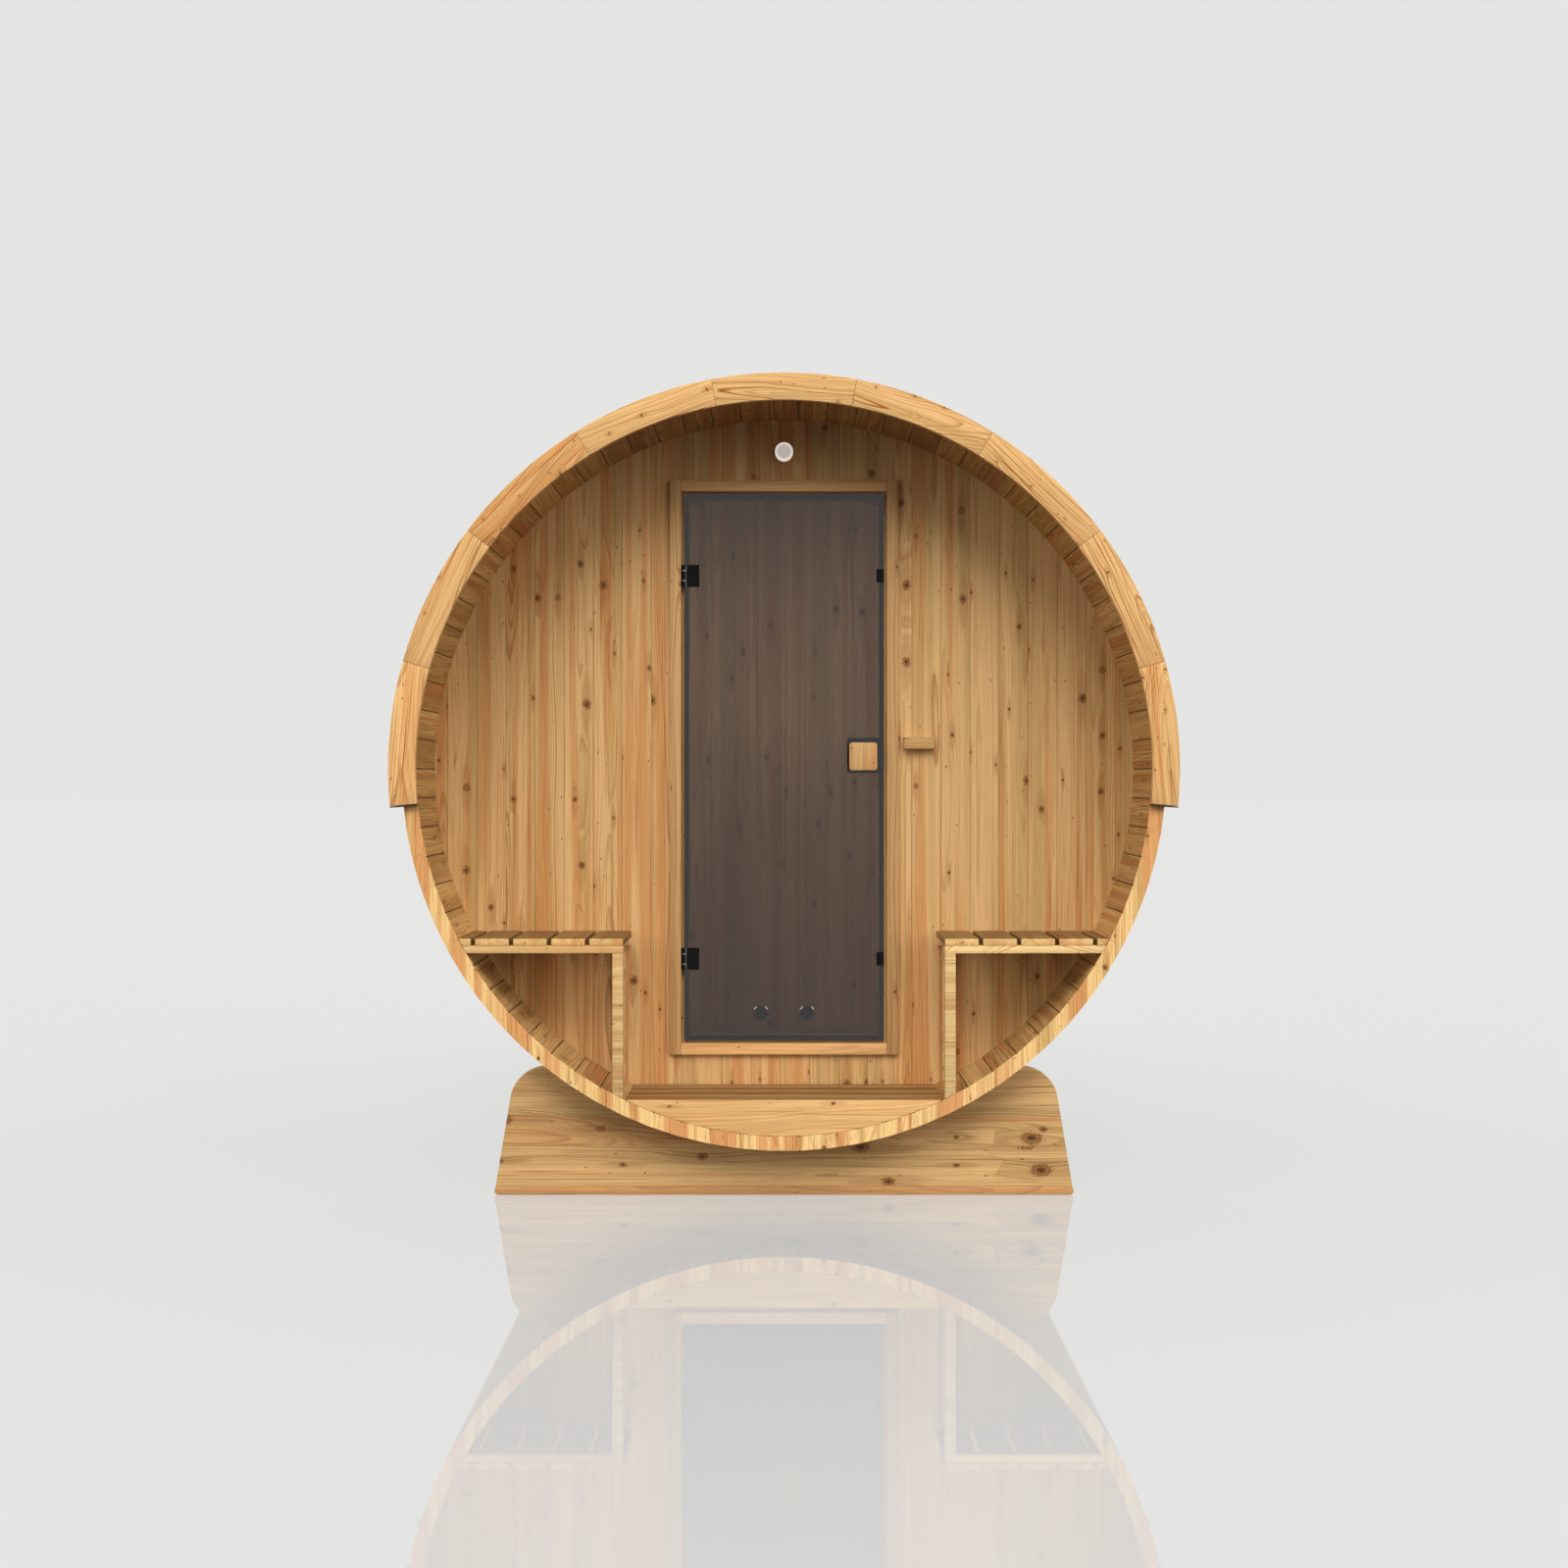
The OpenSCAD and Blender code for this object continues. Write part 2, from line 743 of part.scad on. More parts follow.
// one roof board, over the ribs
module roof_board() {
    half_in = board_in_r * tan(roof_step / 2) - stave_gap / 2;
    half_out = board_out_r * tan(roof_step / 2) - stave_gap / 2;
    b = roof_bevel;
    along_y(-half_len, half_len)
        polygon([[-half_in, board_in_r], [half_in, board_in_r], [half_out, board_out_r - b],
            [half_out - b, board_out_r], [-half_out + b, board_out_r], [-half_out, board_out_r - b]]);
}

module roof_boards(first, last) {
    color("saddlebrown")
        for (i = [first : last])
            turned(-roof_half_angle + (i + 0.5) * roof_step)
                roof_board();
}

// a ring from r0 to r1 between two angles, as an outline in X and Z about the centre line
module ring_part(r0, r1, a0, a1) {
    far = 1.2 * r1;
    mid = (a0 + a1) / 2;
    intersection() {
        difference() {
            circle(r = r1, $fn = curve_fn);
            circle(r = r0, $fn = curve_fn);
        }
        polygon([[0, 0], [far * sin(a0), far * cos(a0)], [far * sin(mid), far * cos(mid)],
            [far * sin(a1), far * cos(a1)]]);
    }
}

module roof_ribs() {
    step = 2 * roof_half_angle / rib_parts;
    row = 2 * rib_end_y / (rib_rows - 1);
    color("peru")
        for (i = [0 : rib_rows - 1], k = [0 : rib_parts - 1])
            let (y = -rib_end_y + i * row, a = -roof_half_angle + k * step)
                translate([0, 0, axis_z])
                    along_y(y - rib_w / 2, y + rib_w / 2)
                        ring_part(shell_r, shell_r + rib_t, a + rib_joint_angle, a + step - rib_joint_angle);
}

module fascia(y0, y1) {
    joint_angle = seat_gap / outer_r * 90 / PI;
    color("burlywood")
        for (i = [0 : fascia_parts - 1])
            let (a = -roof_half_angle + i * fascia_step)
                translate([0, 0, axis_z])
                    along_y(y0, y1)
                        ring_part(inner_r, fascia_r, a + joint_angle, a + fascia_step - joint_angle);
}

// a thin strip under each lower edge of the roof and of both fascias
module drip_strips() {
    y_end = half_len + fascia_t;
    color([0.15, 0.13, 0.12])
        for (side = [0, 1])
            mirror([side, 0, 0])
                turned(roof_half_angle)
                    translate([drip_bevel_gap, 0, 0])
                        rotate([90, 0, 90])
                            linear_extrude(height = drip_t)
                                polygon([[-y_end, inner_r], [-half_len - seat_gap, inner_r],
                                    [-half_len - seat_gap, drip_r], [half_len + seat_gap, drip_r],
                                    [half_len + seat_gap, inner_r], [y_end, inner_r],
                                    [y_end, fascia_r], [-y_end, fascia_r]]);
}

// a cradle's side as an outline, from the ground, with a round top corner
function cradle_corner() = let (
    cz = cradle_h - cradle_r,
    cx = cradle_half - (cradle_r + cz * sin(cradle_lean)) / cos(cradle_lean)
) arc(cx, cz, cradle_r, cradle_lean, 90);

module cradle(y0) {
    right = cradle_corner();
    left = [for (p = backwards(right)) [-p[0], p[1]]];
    foot = cradle_half - sole_h * tan(cradle_lean);
    color("tan")
        difference() {
            along_y(y0, y0 + cradle_t)
                polygon(concat([[-foot, sole_h], [foot, sole_h]], right, left));
            barrel_space(y0 - over, y0 + cradle_t + over, shell_r);
        }
}

module cradle_front() {
    cradle(-half_len + cradle_in);
}

module cradle_rear() {
    cradle(half_len - cradle_in - cradle_t);
}

module cradle_soles() {
    foot = cradle_half - sole_h * tan(cradle_lean);
    color("orange")
        for (y = [-half_len + cradle_in, half_len - cradle_in - cradle_t])
            along_y(y, y + cradle_t)
                polygon(concat(arc(-cradle_half + sole_r, sole_r, sole_r, 180, 270),
                    arc(cradle_half - sole_r, sole_r, sole_r, 270, 360), [[foot, sole_h], [-foot, sole_h]]));
}

staves(-edge_stave, edge_stave);  // staves_bottom
staves(edge_stave + 1, edge_stave + low_to);  // staves_right_low
staves(edge_stave + low_to + 1, edge_stave + mid_to);  // staves_right_mid
staves(edge_stave + mid_to + 1, edge_stave + side_staves);  // staves_right_high
staves(-edge_stave - low_to, -edge_stave - 1);  // staves_left_low
staves(-edge_stave - mid_to, -edge_stave - low_to - 1);  // staves_left_mid
staves(-edge_stave - side_staves, -edge_stave - mid_to - 1);  // staves_left_high
staves(edge_stave + side_staves + 1, edge_stave + side_staves + top_staves);  // staves_top
steel_hoops();
front_wall_left();
front_wall_right();
front_wall_over_door();
front_wall_below_door();
back_wall();
back_vents();
door_jambs();
door_head();
door_sill();
door_casing();
door_glass();
hinge_clamps();
hinge_leaves();
strike_plates();
handle_outer();
handle_inner();
handle_spindle();
porch_light_base();
porch_light_lens();
towel_peg();
bench_slats(-1);  // bench_slats_left
bench_slats(1);  // bench_slats_right
bench_frames(-1);  // bench_frames_left
bench_frames(1);  // bench_frames_right
porch_floor();
floor_front_board();
cabin_floor();
floor_bearers();
roof_boards(0, roof_side - 1);  // roof_boards_left
roof_boards(roof_side, roof_count - roof_side - 1);  // roof_boards_top
roof_boards(roof_count - roof_side, roof_count - 1);  // roof_boards_right
roof_ribs();
fascia(-half_len - fascia_t, -half_len);  // fascia_front
fascia(half_len, half_len + fascia_t);  // fascia_rear
drip_strips();
cradle_front();
cradle_rear();
cradle_soles();
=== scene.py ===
# Barrel sauna: finishes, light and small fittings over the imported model.
# X runs to the right, Y from the porch to the back, Z up, all in metres.
import bpy
import math
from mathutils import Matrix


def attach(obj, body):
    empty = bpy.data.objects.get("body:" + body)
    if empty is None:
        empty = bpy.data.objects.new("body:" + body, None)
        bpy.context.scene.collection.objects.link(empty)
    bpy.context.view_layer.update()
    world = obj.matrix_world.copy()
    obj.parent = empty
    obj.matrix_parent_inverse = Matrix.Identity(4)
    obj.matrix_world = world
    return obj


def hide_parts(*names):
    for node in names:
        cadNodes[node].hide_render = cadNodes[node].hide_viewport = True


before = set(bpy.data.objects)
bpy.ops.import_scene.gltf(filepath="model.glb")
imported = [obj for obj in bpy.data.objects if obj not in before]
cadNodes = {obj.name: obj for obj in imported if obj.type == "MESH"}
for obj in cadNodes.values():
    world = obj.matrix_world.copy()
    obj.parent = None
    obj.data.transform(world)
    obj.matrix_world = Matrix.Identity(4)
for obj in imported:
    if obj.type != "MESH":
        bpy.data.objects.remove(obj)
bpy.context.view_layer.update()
print("frame loaded:", len(cadNodes), "nodes")

# places that the finishes and fittings share with the solids; steps are degrees from board to board
barrel = {
    "axisHeight": 1.170,
    "staveStep": 360 / 78,
    "roofStep": 191 / 41,
    "fascia": (191 / 9, 1.024),
    "innerRadius": 0.988,
    "roofRadius": 1.059,
    "halfLength": 0.975,
    "frontWall": -0.640,
    "backWall": 0.845,
    "cradleFront": -0.825,
    "floorHeight": 0.279,
}


class Wire:
    # an output in a node tree, reckoned with like a number
    def __init__(self, tree, socket):
        self.tree = tree
        self.socket = socket

    def calc(self, operation, second=0.0, third=None):
        return calc(self.tree, operation, self, second, third)

    def __add__(self, other):
        return self.calc("ADD", other)

    def __sub__(self, other):
        return self.calc("SUBTRACT", other)

    def __rsub__(self, other):
        return calc(self.tree, "SUBTRACT", other, self)

    def __mul__(self, other):
        return self.calc("MULTIPLY", other)

    def __truediv__(self, other):
        return self.calc("DIVIDE", other)

    def __abs__(self):
        return self.calc("ABSOLUTE")

    def timesPlus(self, factor, start):
        return self.calc("MULTIPLY_ADD", factor, start)

    def spread(self, low, high, outLow=0.0, outHigh=1.0, smooth=False):
        node = self.tree.nodes.new("ShaderNodeMapRange")
        node.interpolation_type = "SMOOTHSTEP" if smooth else "LINEAR"
        return fill(self.tree, node, enumerate((self, low, high, outLow, outHigh)))

    def rise(self, low, high, top=1.0):
        # softly from nothing at low to top at high
        return self.spread(low, high, 0.0, top, True)

    def fall(self, low, high):
        return self.spread(low, high, 1.0, 0.0, True)

    def blend(self, amount, other, mode="MIX"):
        return blendColour(self.tree, amount, self, other, mode)


def feed(tree, socket, value):
    if isinstance(value, Wire):
        tree.links.new(value.socket, socket)
    else:
        socket.default_value = value


def feedAll(tree, node, values):
    for place, value in dict(values).items():
        feed(tree, node.inputs[place], value)


def fill(tree, node, values, output=0):
    # feeds the numbered or named inputs and hands back one output
    feedAll(tree, node, values)
    return Wire(tree, node.outputs[output])


def calc(tree, operation, first, second=0.0, third=None):
    node = tree.nodes.new("ShaderNodeMath")
    node.operation = operation
    values = (first, second) if third is None else (first, second, third)
    return fill(tree, node, enumerate(values))


def blendColour(tree, amount, first, second, mode="MIX"):
    node = tree.nodes.new("ShaderNodeMix")
    node.data_type = "RGBA"
    node.blend_type = mode
    return fill(tree, node, {0: amount, 6: first, 7: second}, 2)


def either(chosen, no, yes):
    node = chosen.tree.nodes.new("ShaderNodeMix")
    node.data_type = "FLOAT"
    return fill(chosen.tree, node, {0: chosen, 2: no, 3: yes})


def joinVector(tree, x, y, z):
    return fill(tree, tree.nodes.new("ShaderNodeCombineXYZ"), {0: x, 1: y, 2: z})


def splitInto(tree, kind, value):
    node = tree.nodes.new(kind)
    fill(tree, node, {0: value})
    return [Wire(tree, node.outputs[index]) for index in range(3)]


def objectPlace(tree):
    return Wire(tree, tree.nodes.new("ShaderNodeTexCoord").outputs["Object"])


def placesOf(tree, axes="XYZ"):
    # the object's own coordinates in the order of the named axes
    places = dict(zip("XYZ", splitInto(tree, "ShaderNodeSeparateXYZ", objectPlace(tree))))
    return [places[axis] for axis in axes]


def noiseAt(tree, place, detail=0.0, roughness=0.5):
    node = tree.nodes.new("ShaderNodeTexNoise")
    flat = place.socket.type == "VALUE"
    node.noise_dimensions = "1D" if flat else "3D"
    values = {"W" if flat else "Vector": place, "Scale": 1.0, "Detail": detail, "Roughness": roughness}
    return fill(tree, node, values)


def randomOf(tree, number):
    # three random values that belong to the number
    node = tree.nodes.new("ShaderNodeTexWhiteNoise")
    node.noise_dimensions = "1D"
    return splitInto(tree, "ShaderNodeSeparateColor", fill(tree, node, {"W": number}, "Color"))


def newGroup(name, takes):
    # one number makes a number socket, three a vector and four a colour
    group = bpy.data.node_groups.new(name, "ShaderNodeTree")
    for label, value in takes.items():
        kind = "Float" if isinstance(value, float) else {3: "Vector", 4: "Color"}[len(value)]
        socket = group.interface.new_socket(name=label, in_out="INPUT", socket_type="NodeSocket" + kind)
        socket.default_value = value
    given = group.nodes.new("NodeGroupInput").outputs
    return group, {label: Wire(group, given[label]) for label in takes}


def giveOut(group, values):
    for label in values:
        kind = "Color" if label == "Color" else "Float"
        group.interface.new_socket(name=label, in_out="OUTPUT", socket_type="NodeSocket" + kind)
    feedAll(group, group.nodes.new("NodeGroupOutput"), values)
    return group


def addGroup(tree, group, values):
    node = tree.nodes.new("ShaderNodeGroup")
    node.node_tree = group
    feedAll(tree, node, values)
    return {socket.name: Wire(tree, socket) for socket in node.outputs}


def tone(red, green, blue):
    linear = [((v / 255 + 0.055) / 1.055) ** 2.4 if v > 10 else v / 255 / 12.92 for v in (red, green, blue)]
    return (*linear, 1.0)


def makeRowGroup():
    # boards side by side in a straight row: place across the board, its number, distance to the joint
    group, given = newGroup("boardRow", {"Place": 0.0, "First Joint": 0.0, "Width": 0.1})
    steps = (given["Place"] - given["First Joint"]) / given["Width"]
    board = steps.calc("FLOOR")
    across = (steps - board - 0.5) * given["Width"]
    return giveOut(group, {"Across": across, "Board": board, "Joint": given["Width"] * 0.5 - abs(across)})


def makeRoundGroup():
    # boards round the barrel: place along the flat, out from it and along the barrel
    group, given = newGroup("boardRound", {"Place": (0, 0, 0), "Step": 5.0, "Radius": 1.0})
    x, y, z = splitInto(group, "ShaderNodeSeparateXYZ", given["Place"])
    up = z - barrel["axisHeight"]
    step = given["Step"].calc("RADIANS")
    board = (x.calc("ARCTAN2", up) / step).calc("ROUND")
    turn = board * step
    sine = turn.calc("SINE")
    cosine = turn.calc("COSINE")
    flat = x * cosine - up * sine
    away = x * sine + up * cosine
    half = away * (step * 0.5).calc("TANGENT")
    return giveOut(group, {"Along Flat": flat, "Out": away - given["Radius"], "Run": y, "Board": board,
                           "Joint": half - abs(flat)})


# lines: scale across and along, detail, roughness, shift; turns and ranges: a factor and what is added;
# the pairs for colours: where each one begins and is full
grain = {
    "logTurn": (1.37, 0.61),
    "logReach": 23.0,
    "logStep": 0.83,
    "driftSide": (1.3, 3.3),
    "driftDeep": (1.1, 71.0),
    "pithSpread": 0.09,
    "pithDeep": (0.9, 0.45),
    "swirlLines": (18.0, 3.0, 2.0),
    "streakLines": (240.0, 2.4, 2.0, 0.62),
    "streakPush": 0.0016,
    "fineLines": (70.0, 0.9, 1.5, 0.6, 5.0),
    "fineOlive": 0.75,
    "fineRose": -0.60,
    "oliveLines": (22.0, 0.5, 0.5),
    "oliveTurn": (0.20, -0.10),
    "roseLines": (30.0, 0.65, 0.5, 0.5, 17.0),
    "roseTurn": (0.18, -0.09),
    "fibreLines": (560.0, 12.0, 1.0),
    "speckScales": (130.0, 60.0),
    "olive": (0.54, 0.34),
    "rose": (0.50, 0.68),
    "livelyTurn": 7.0,
    "livelyRange": (0.85, 0.15),
    "lateRise": (0.30, 0.86),
    "lateFall": (0.88, 1.0),
    "ringDrift": (0.37, 2.0),
    "ringTurn": 2.13,
    "ringPower": 1.8,
    "ringRange": (0.95, 0.12),
    "streakUneven": (0.36, 0.64, 0.45, 1.30),
    "streakBase": 0.40,
    "streakDark": (0.52, 0.72),
    "streakLight": (0.46, 0.28, 0.16),
    "fibreShade": (0.36, 0.82),
    "speck": (0.80, 0.84, 0.75),
    "speckTone": tone(84, 50, 28),
    "seam": (0.25, 1.0),
    "seamTone": tone(84, 52, 28),
    "roughness": (0.14, 0.50),
    "lateGloss": 0.09,
    "heights": {"late": 0.35, "fibre": 0.5, "seam": 1.5, "knot": 0.4},
}
knots = {
    "cellAcross": 0.075,
    "cellTurn": 9.0,
    "sizePower": 1.5,
    "sizeRange": (0.85, 0.35),
    "raggedScales": (230.0, 170.0),
    "raggedRange": (1.3, 0.35),
    "tailStretch": 0.05,
    "bulgeFall": -0.28,
    "bulge": 1.1,
    "edge": (0.75, 1.15),
    "heart": (0.28, 0.55),
    "rim": (0.62, 0.86),
    "halo": (0.5, 3.2),
    "darkShare": 0.75,
    "haloDepth": 0.34,
    "depth": 0.80,
    "rimDepth": 0.6,
    "darkDepth": 0.85,
    "darkTone": tone(70, 36, 15),
}


def makeGrainGroup():
    # sawn softwood: growth rings about a wandering pith, knots that push them aside, streaks and fibres
    group, given = newGroup("plankGrain", {
        "Across": 0.0, "Depth": 0.0, "Along": 0.0, "Board": 0.0, "Joint": 1.0, "Ring Gap": 0.005,
        "Pith Depth": 0.03, "Pith Side": 0.0, "Wander": 0.05, "Swirl": 0.005, "Knot Size": 0.008,
        "Knot Share": 0.5, "Knot Cell": 0.22, "Knot Stretch": 1.25, "Late Depth": 0.6, "Tint": 0.7,
        "Streak Depth": 0.5, "Joint Dark": 0.5, "Board Shade": 0.08, "Seam Width": 0.0016,
        "Pale": tone(240, 198, 132), "Late": tone(190, 126, 64), "Olive": tone(206, 166, 100),
        "Rose": tone(218, 154, 96), "Knot Color": tone(142, 90, 42), "Worn": 0.0,
        "Darkening Color": tone(196, 184, 170)})
    across, depth, along, board = (given[label] for label in ("Across", "Depth", "Along", "Board"))
    red, green, blue = randomOf(group, board.timesPlus(*grain["logTurn"]))
    # every board is cut from another place in the log
    run = red.timesPlus(grain["logReach"], along) + board * grain["logStep"]

    def lines(acrossScale, alongScale, detail, roughness=0.5, shift=0.0):
        shifted = across.timesPlus(acrossScale, shift)
        place = joinVector(group, shifted, depth * acrossScale, run * alongScale)
        return noiseAt(group, place, detail, roughness)

    driftSide = noiseAt(group, run.timesPlus(*grain["driftSide"]), 1.0) - 0.5
    driftDeep = noiseAt(group, run.timesPlus(*grain["driftDeep"]), 1.0) - 0.5
    side = green - 0.5
    pithSide = side.calc("SIGN") * given["Pith Side"] + side * grain["pithSpread"]
    pithSide = pithSide + driftSide * given["Wander"]
    pithDeep = given["Pith Depth"] * blue.timesPlus(*grain["pithDeep"]) + driftDeep * given["Wander"]
    sideways = across - pithSide
    inward = depth + pithDeep
    radius = (sideways * sideways + inward * inward).calc("SQRT")
    radius = radius + (lines(*grain["swirlLines"]) - 0.5) * given["Swirl"]
    streak = lines(*grain["streakLines"])
    radius = radius + (streak - 0.5) * grain["streakPush"]

    # knots: one in some cells of a long grid, brown with a darker rim, and most of them with a dark heart
    cell = group.nodes.new("ShaderNodeTexVoronoi")
    cell.voronoi_dimensions = "2D"
    cellX = across / knots["cellAcross"] + green * knots["cellTurn"]
    cellY = run / given["Knot Cell"]
    place = joinVector(group, cellX, cellY, 0.0)
    position = fill(group, cell, {"Scale": 1.0, "Vector": place}, "Position")
    spotX, spotY, _ = splitInto(group, "ShaderNodeSeparateXYZ", position)
    pick = splitInto(group, "ShaderNodeSeparateColor", Wire(group, cell.outputs["Color"]))
    size = given["Knot Size"] * pick[0].calc("POWER", knots["sizePower"]).timesPlus(*knots["sizeRange"])
    there = pick[1].calc("LESS_THAN", given["Knot Share"])
    knotX = (cellX - spotX) * knots["cellAcross"] / size
    knotY = (cellY - spotY) * given["Knot Cell"] / (size * given["Knot Stretch"])
    acrossScale, alongScale = knots["raggedScales"]
    ragged = noiseAt(group, joinVector(group, across * acrossScale, run * alongScale, depth), 1.0)
    reach = (knotX * knotX + knotY * knotY).calc("SQRT") * ragged.timesPlus(*knots["raggedRange"])
    tail = knotX * knotX + knotY * knotY * knots["tailStretch"]
    bulge = (tail * knots["bulgeFall"]).calc("EXPONENT") * there
    radius = radius + bulge * (size * knots["bulge"])
    knot = reach.fall(*knots["edge"]) * there
    heart = reach.fall(*knots["heart"]) * there
    rim = reach.rise(*knots["rim"]) * knot
    halo = tail.fall(*knots["halo"]) * there
    darkSpot = heart * pick[2].calc("LESS_THAN", knots["darkShare"])

    # ring profile: a slow rise through the early wood and a thin dark line of late wood
    phase = radius / given["Ring Gap"]
    driftScale, driftDepth = grain["ringDrift"]
    phase = phase + noiseAt(group, phase * driftScale) * driftDepth
    ring = phase.calc("FLOOR")
    part = phase - ring
    ringPick = randomOf(group, ring.timesPlus(grain["ringTurn"], board))[0]
    late = part.rise(*grain["lateRise"]) * part.fall(*grain["lateFall"])
    late = late * ringPick.calc("POWER", grain["ringPower"]).timesPlus(*grain["ringRange"])
    # some boards are plain and some are streaky
    lively = (green * grain["livelyTurn"]).calc("FRACT").timesPlus(*grain["livelyRange"])
    finer = (lines(*grain["fineLines"]) - 0.5) * lively
    greener = lines(*grain["oliveLines"]) + red.timesPlus(*grain["oliveTurn"])
    greener = finer.timesPlus(grain["fineOlive"], greener)
    redder = lines(*grain["roseLines"]) + blue.timesPlus(*grain["roseTurn"])
    redder = finer.timesPlus(grain["fineRose"], redder)
    fibre = lines(*grain["fibreLines"])
    acrossScale, alongScale = grain["speckScales"]
    specks = noiseAt(group, joinVector(group, across * acrossScale, depth * acrossScale, run * alongScale))

    # colours: bands of pale, olive and rose wood, then rings, fine streaks, fibres and knots
    colour = given["Pale"].blend(greener.rise(*grain["olive"]) * given["Tint"], given["Olive"])
    colour = colour.blend(redder.rise(*grain["rose"]) * given["Tint"], given["Rose"])
    colour = colour.blend(late * given["Late Depth"], given["Late"])
    uneven = redder.spread(*grain["streakUneven"]) * (lively + grain["streakBase"])
    colour = colour.blend(streak.rise(*grain["streakDark"], given["Streak Depth"]) * uneven, given["Late"])
    lighter = streak.rise(*grain["streakLight"]) * given["Streak Depth"]
    shade = fibre.timesPlus(*grain["fibreShade"]) + lighter + side * given["Board Shade"]
    colour = colour.blend(1.0, joinVector(group, shade, shade, shade), "MULTIPLY")
    colour = colour.blend(halo * knots["haloDepth"], given["Late"])
    colour = colour.blend(knot * knots["depth"], given["Knot Color"])
    darkest = (rim * knots["rimDepth"]).calc("MAXIMUM", darkSpot)
    colour = colour.blend(darkest * knots["darkDepth"], knots["darkTone"])
    colour = colour.blend(specks.rise(*grain["speck"]), grain["speckTone"])
    seam = (given["Joint"] / given["Seam Width"]).fall(*grain["seam"])
    colour = colour.blend(seam * given["Joint Dark"], grain["seamTone"])
    # painted shade: the faces a finish names are darkened by its darkening colour; the casing's uprights
    # and the bench legs get a darker tone the same way
    colour = colour.blend(given["Worn"], colour.blend(1.0, given["Darkening Color"], "MULTIPLY"))
    heights = grain["heights"]
    height = late * heights["late"] + fibre * heights["fibre"]
    height = height - seam * heights["seam"] - knot * heights["knot"]
    roughness = fibre.timesPlus(*grain["roughness"]) - late * grain["lateGloss"]
    return giveOut(group, {"Color": colour, "Roughness": roughness, "Height": height})


boardRow = makeRowGroup()
boardRound = makeRoundGroup()
plankGrain = makeGrainGroup()
print("shader groups made")


def newMaterial(name):
    material = bpy.data.materials.new(name)
    material.use_nodes = True
    return material, material.node_tree, material.node_tree.nodes["Principled BSDF"]


def addBump(tree, shader, height, strength, distance):
    values = {"Strength": strength, "Distance": distance, "Height": height}
    feed(tree, shader.inputs["Normal"], fill(tree, tree.nodes.new("ShaderNodeBump"), values, "Normal"))


# where the painted shade begins and is full on a facing, and how the painted shade under the ceiling grows
# towards the top
paintedShadeRamp = {"facing": (0.3, 0.7), "steam": (1.75, 2.15, 0.68, 1.0)}
woodSurface = {"shine": 0.35, "bump": (0.35, 0.0006)}
# over the boards' ends first, then over their sides
roundEnds = {"onSide": 0.5, "joint": (0.0024, 0.0), "late": (0.40, 1.0), "streak": (0.55, 1.2)}
sideNumber = 40.0


def darkeningMask(tree, axis, low, high):
    # faces turned up, or turned away from the barrel's length; the finishes darken them as painted shade
    facing = tree.nodes.new("ShaderNodeNewGeometry")
    x, y, z = splitInto(tree, "ShaderNodeSeparateXYZ", Wire(tree, facing.outputs["Normal"]))
    if axis == "up":
        return z.rise(low, high)
    mask = abs(y).rise(high, low)
    if axis == "side":
        return mask
    # and painted shade darkens the staves more towards the ceiling
    x, y, z = placesOf(tree)
    return mask * z.spread(*paintedShadeRamp["steam"], True)


def woodMaterial(name, layOut, finish):
    material, tree, shader = newMaterial(name)
    values = {**layOut(tree), **finish}
    if "wornFaces" in values:
        values["Worn"] = darkeningMask(tree, values.pop("wornFaces"), *paintedShadeRamp["facing"])
    gives = addGroup(tree, plankGrain, values)
    feedAll(tree, shader, {"Base Color": gives["Color"], "Roughness": gives["Roughness"],
                           "Specular IOR Level": woodSurface["shine"]})
    addBump(tree, shader, gives["Height"], *woodSurface["bump"])
    return material


def straightBoards(axes, firstJoint, width, face, number=0):
    # the axes name the way across the boards, into them and along them
    def layOut(tree):
        across, depth, along = placesOf(tree, axes)
        row = addGroup(tree, boardRow, {"Place": across, "First Joint": firstJoint, "Width": width})
        return {**row, "Depth": depth - face, "Along": along, "Board": row["Board"] + number}
    return layOut


def slatBoards(firstJoint, width, top):
    # boards along Y on both sides of the porch
    def layOut(tree):
        x, y, z = placesOf(tree)
        row = addGroup(tree, boardRow, {"Place": abs(x), "First Joint": firstJoint, "Width": width})
        board = row["Board"] + x.calc("SIGN") * sideNumber
        return {"Across": row["Across"], "Depth": z - top, "Along": y, "Board": board}
    return layOut


def roundBoards(step, radius, number=0):
    # the grain runs along the barrel, and straight up over the boards' ends
    def layOut(tree):
        x, y, z = placesOf(tree)
        gives = addGroup(tree, boardRound, {"Place": objectPlace(tree), "Step": step, "Radius": radius})
        onSide = darkeningMask(tree, "side", 0.0, 1.0).calc("GREATER_THAN", roundEnds["onSide"])
        return {"Across": either(onSide, x, gives["Along Flat"]), "Depth": either(onSide, y, gives["Out"]),
                "Along": either(onSide, z, gives["Run"]),
                "Board": either(onSide, float(number), gives["Board"] + number),
                "Joint": gives["Joint"] + either(onSide, *roundEnds["joint"]),
                "Late Depth": either(onSide, *roundEnds["late"]),
                "Streak Depth": either(onSide, *roundEnds["streak"])}
    return layOut


def roundSegments(step, radius, face, number=0):
    def layOut(tree):
        gives = addGroup(tree, boardRound, {"Place": objectPlace(tree), "Step": step, "Radius": radius})
        return {"Across": gives["Out"], "Depth": gives["Run"] - face, "Along": gives["Along Flat"],
                "Board": gives["Board"] + number, "Joint": gives["Joint"]}
    return layOut


def plainPiece(number, axes, middle=(0.0, 0.0, 0.0)):
    # a single board, its middle given in the order of the axes
    def layOut(tree):
        across, depth, along = [place - at for place, at in zip(placesOf(tree, axes), middle)]
        return {"Across": across, "Depth": depth, "Along": along, "Board": float(number)}
    return layOut


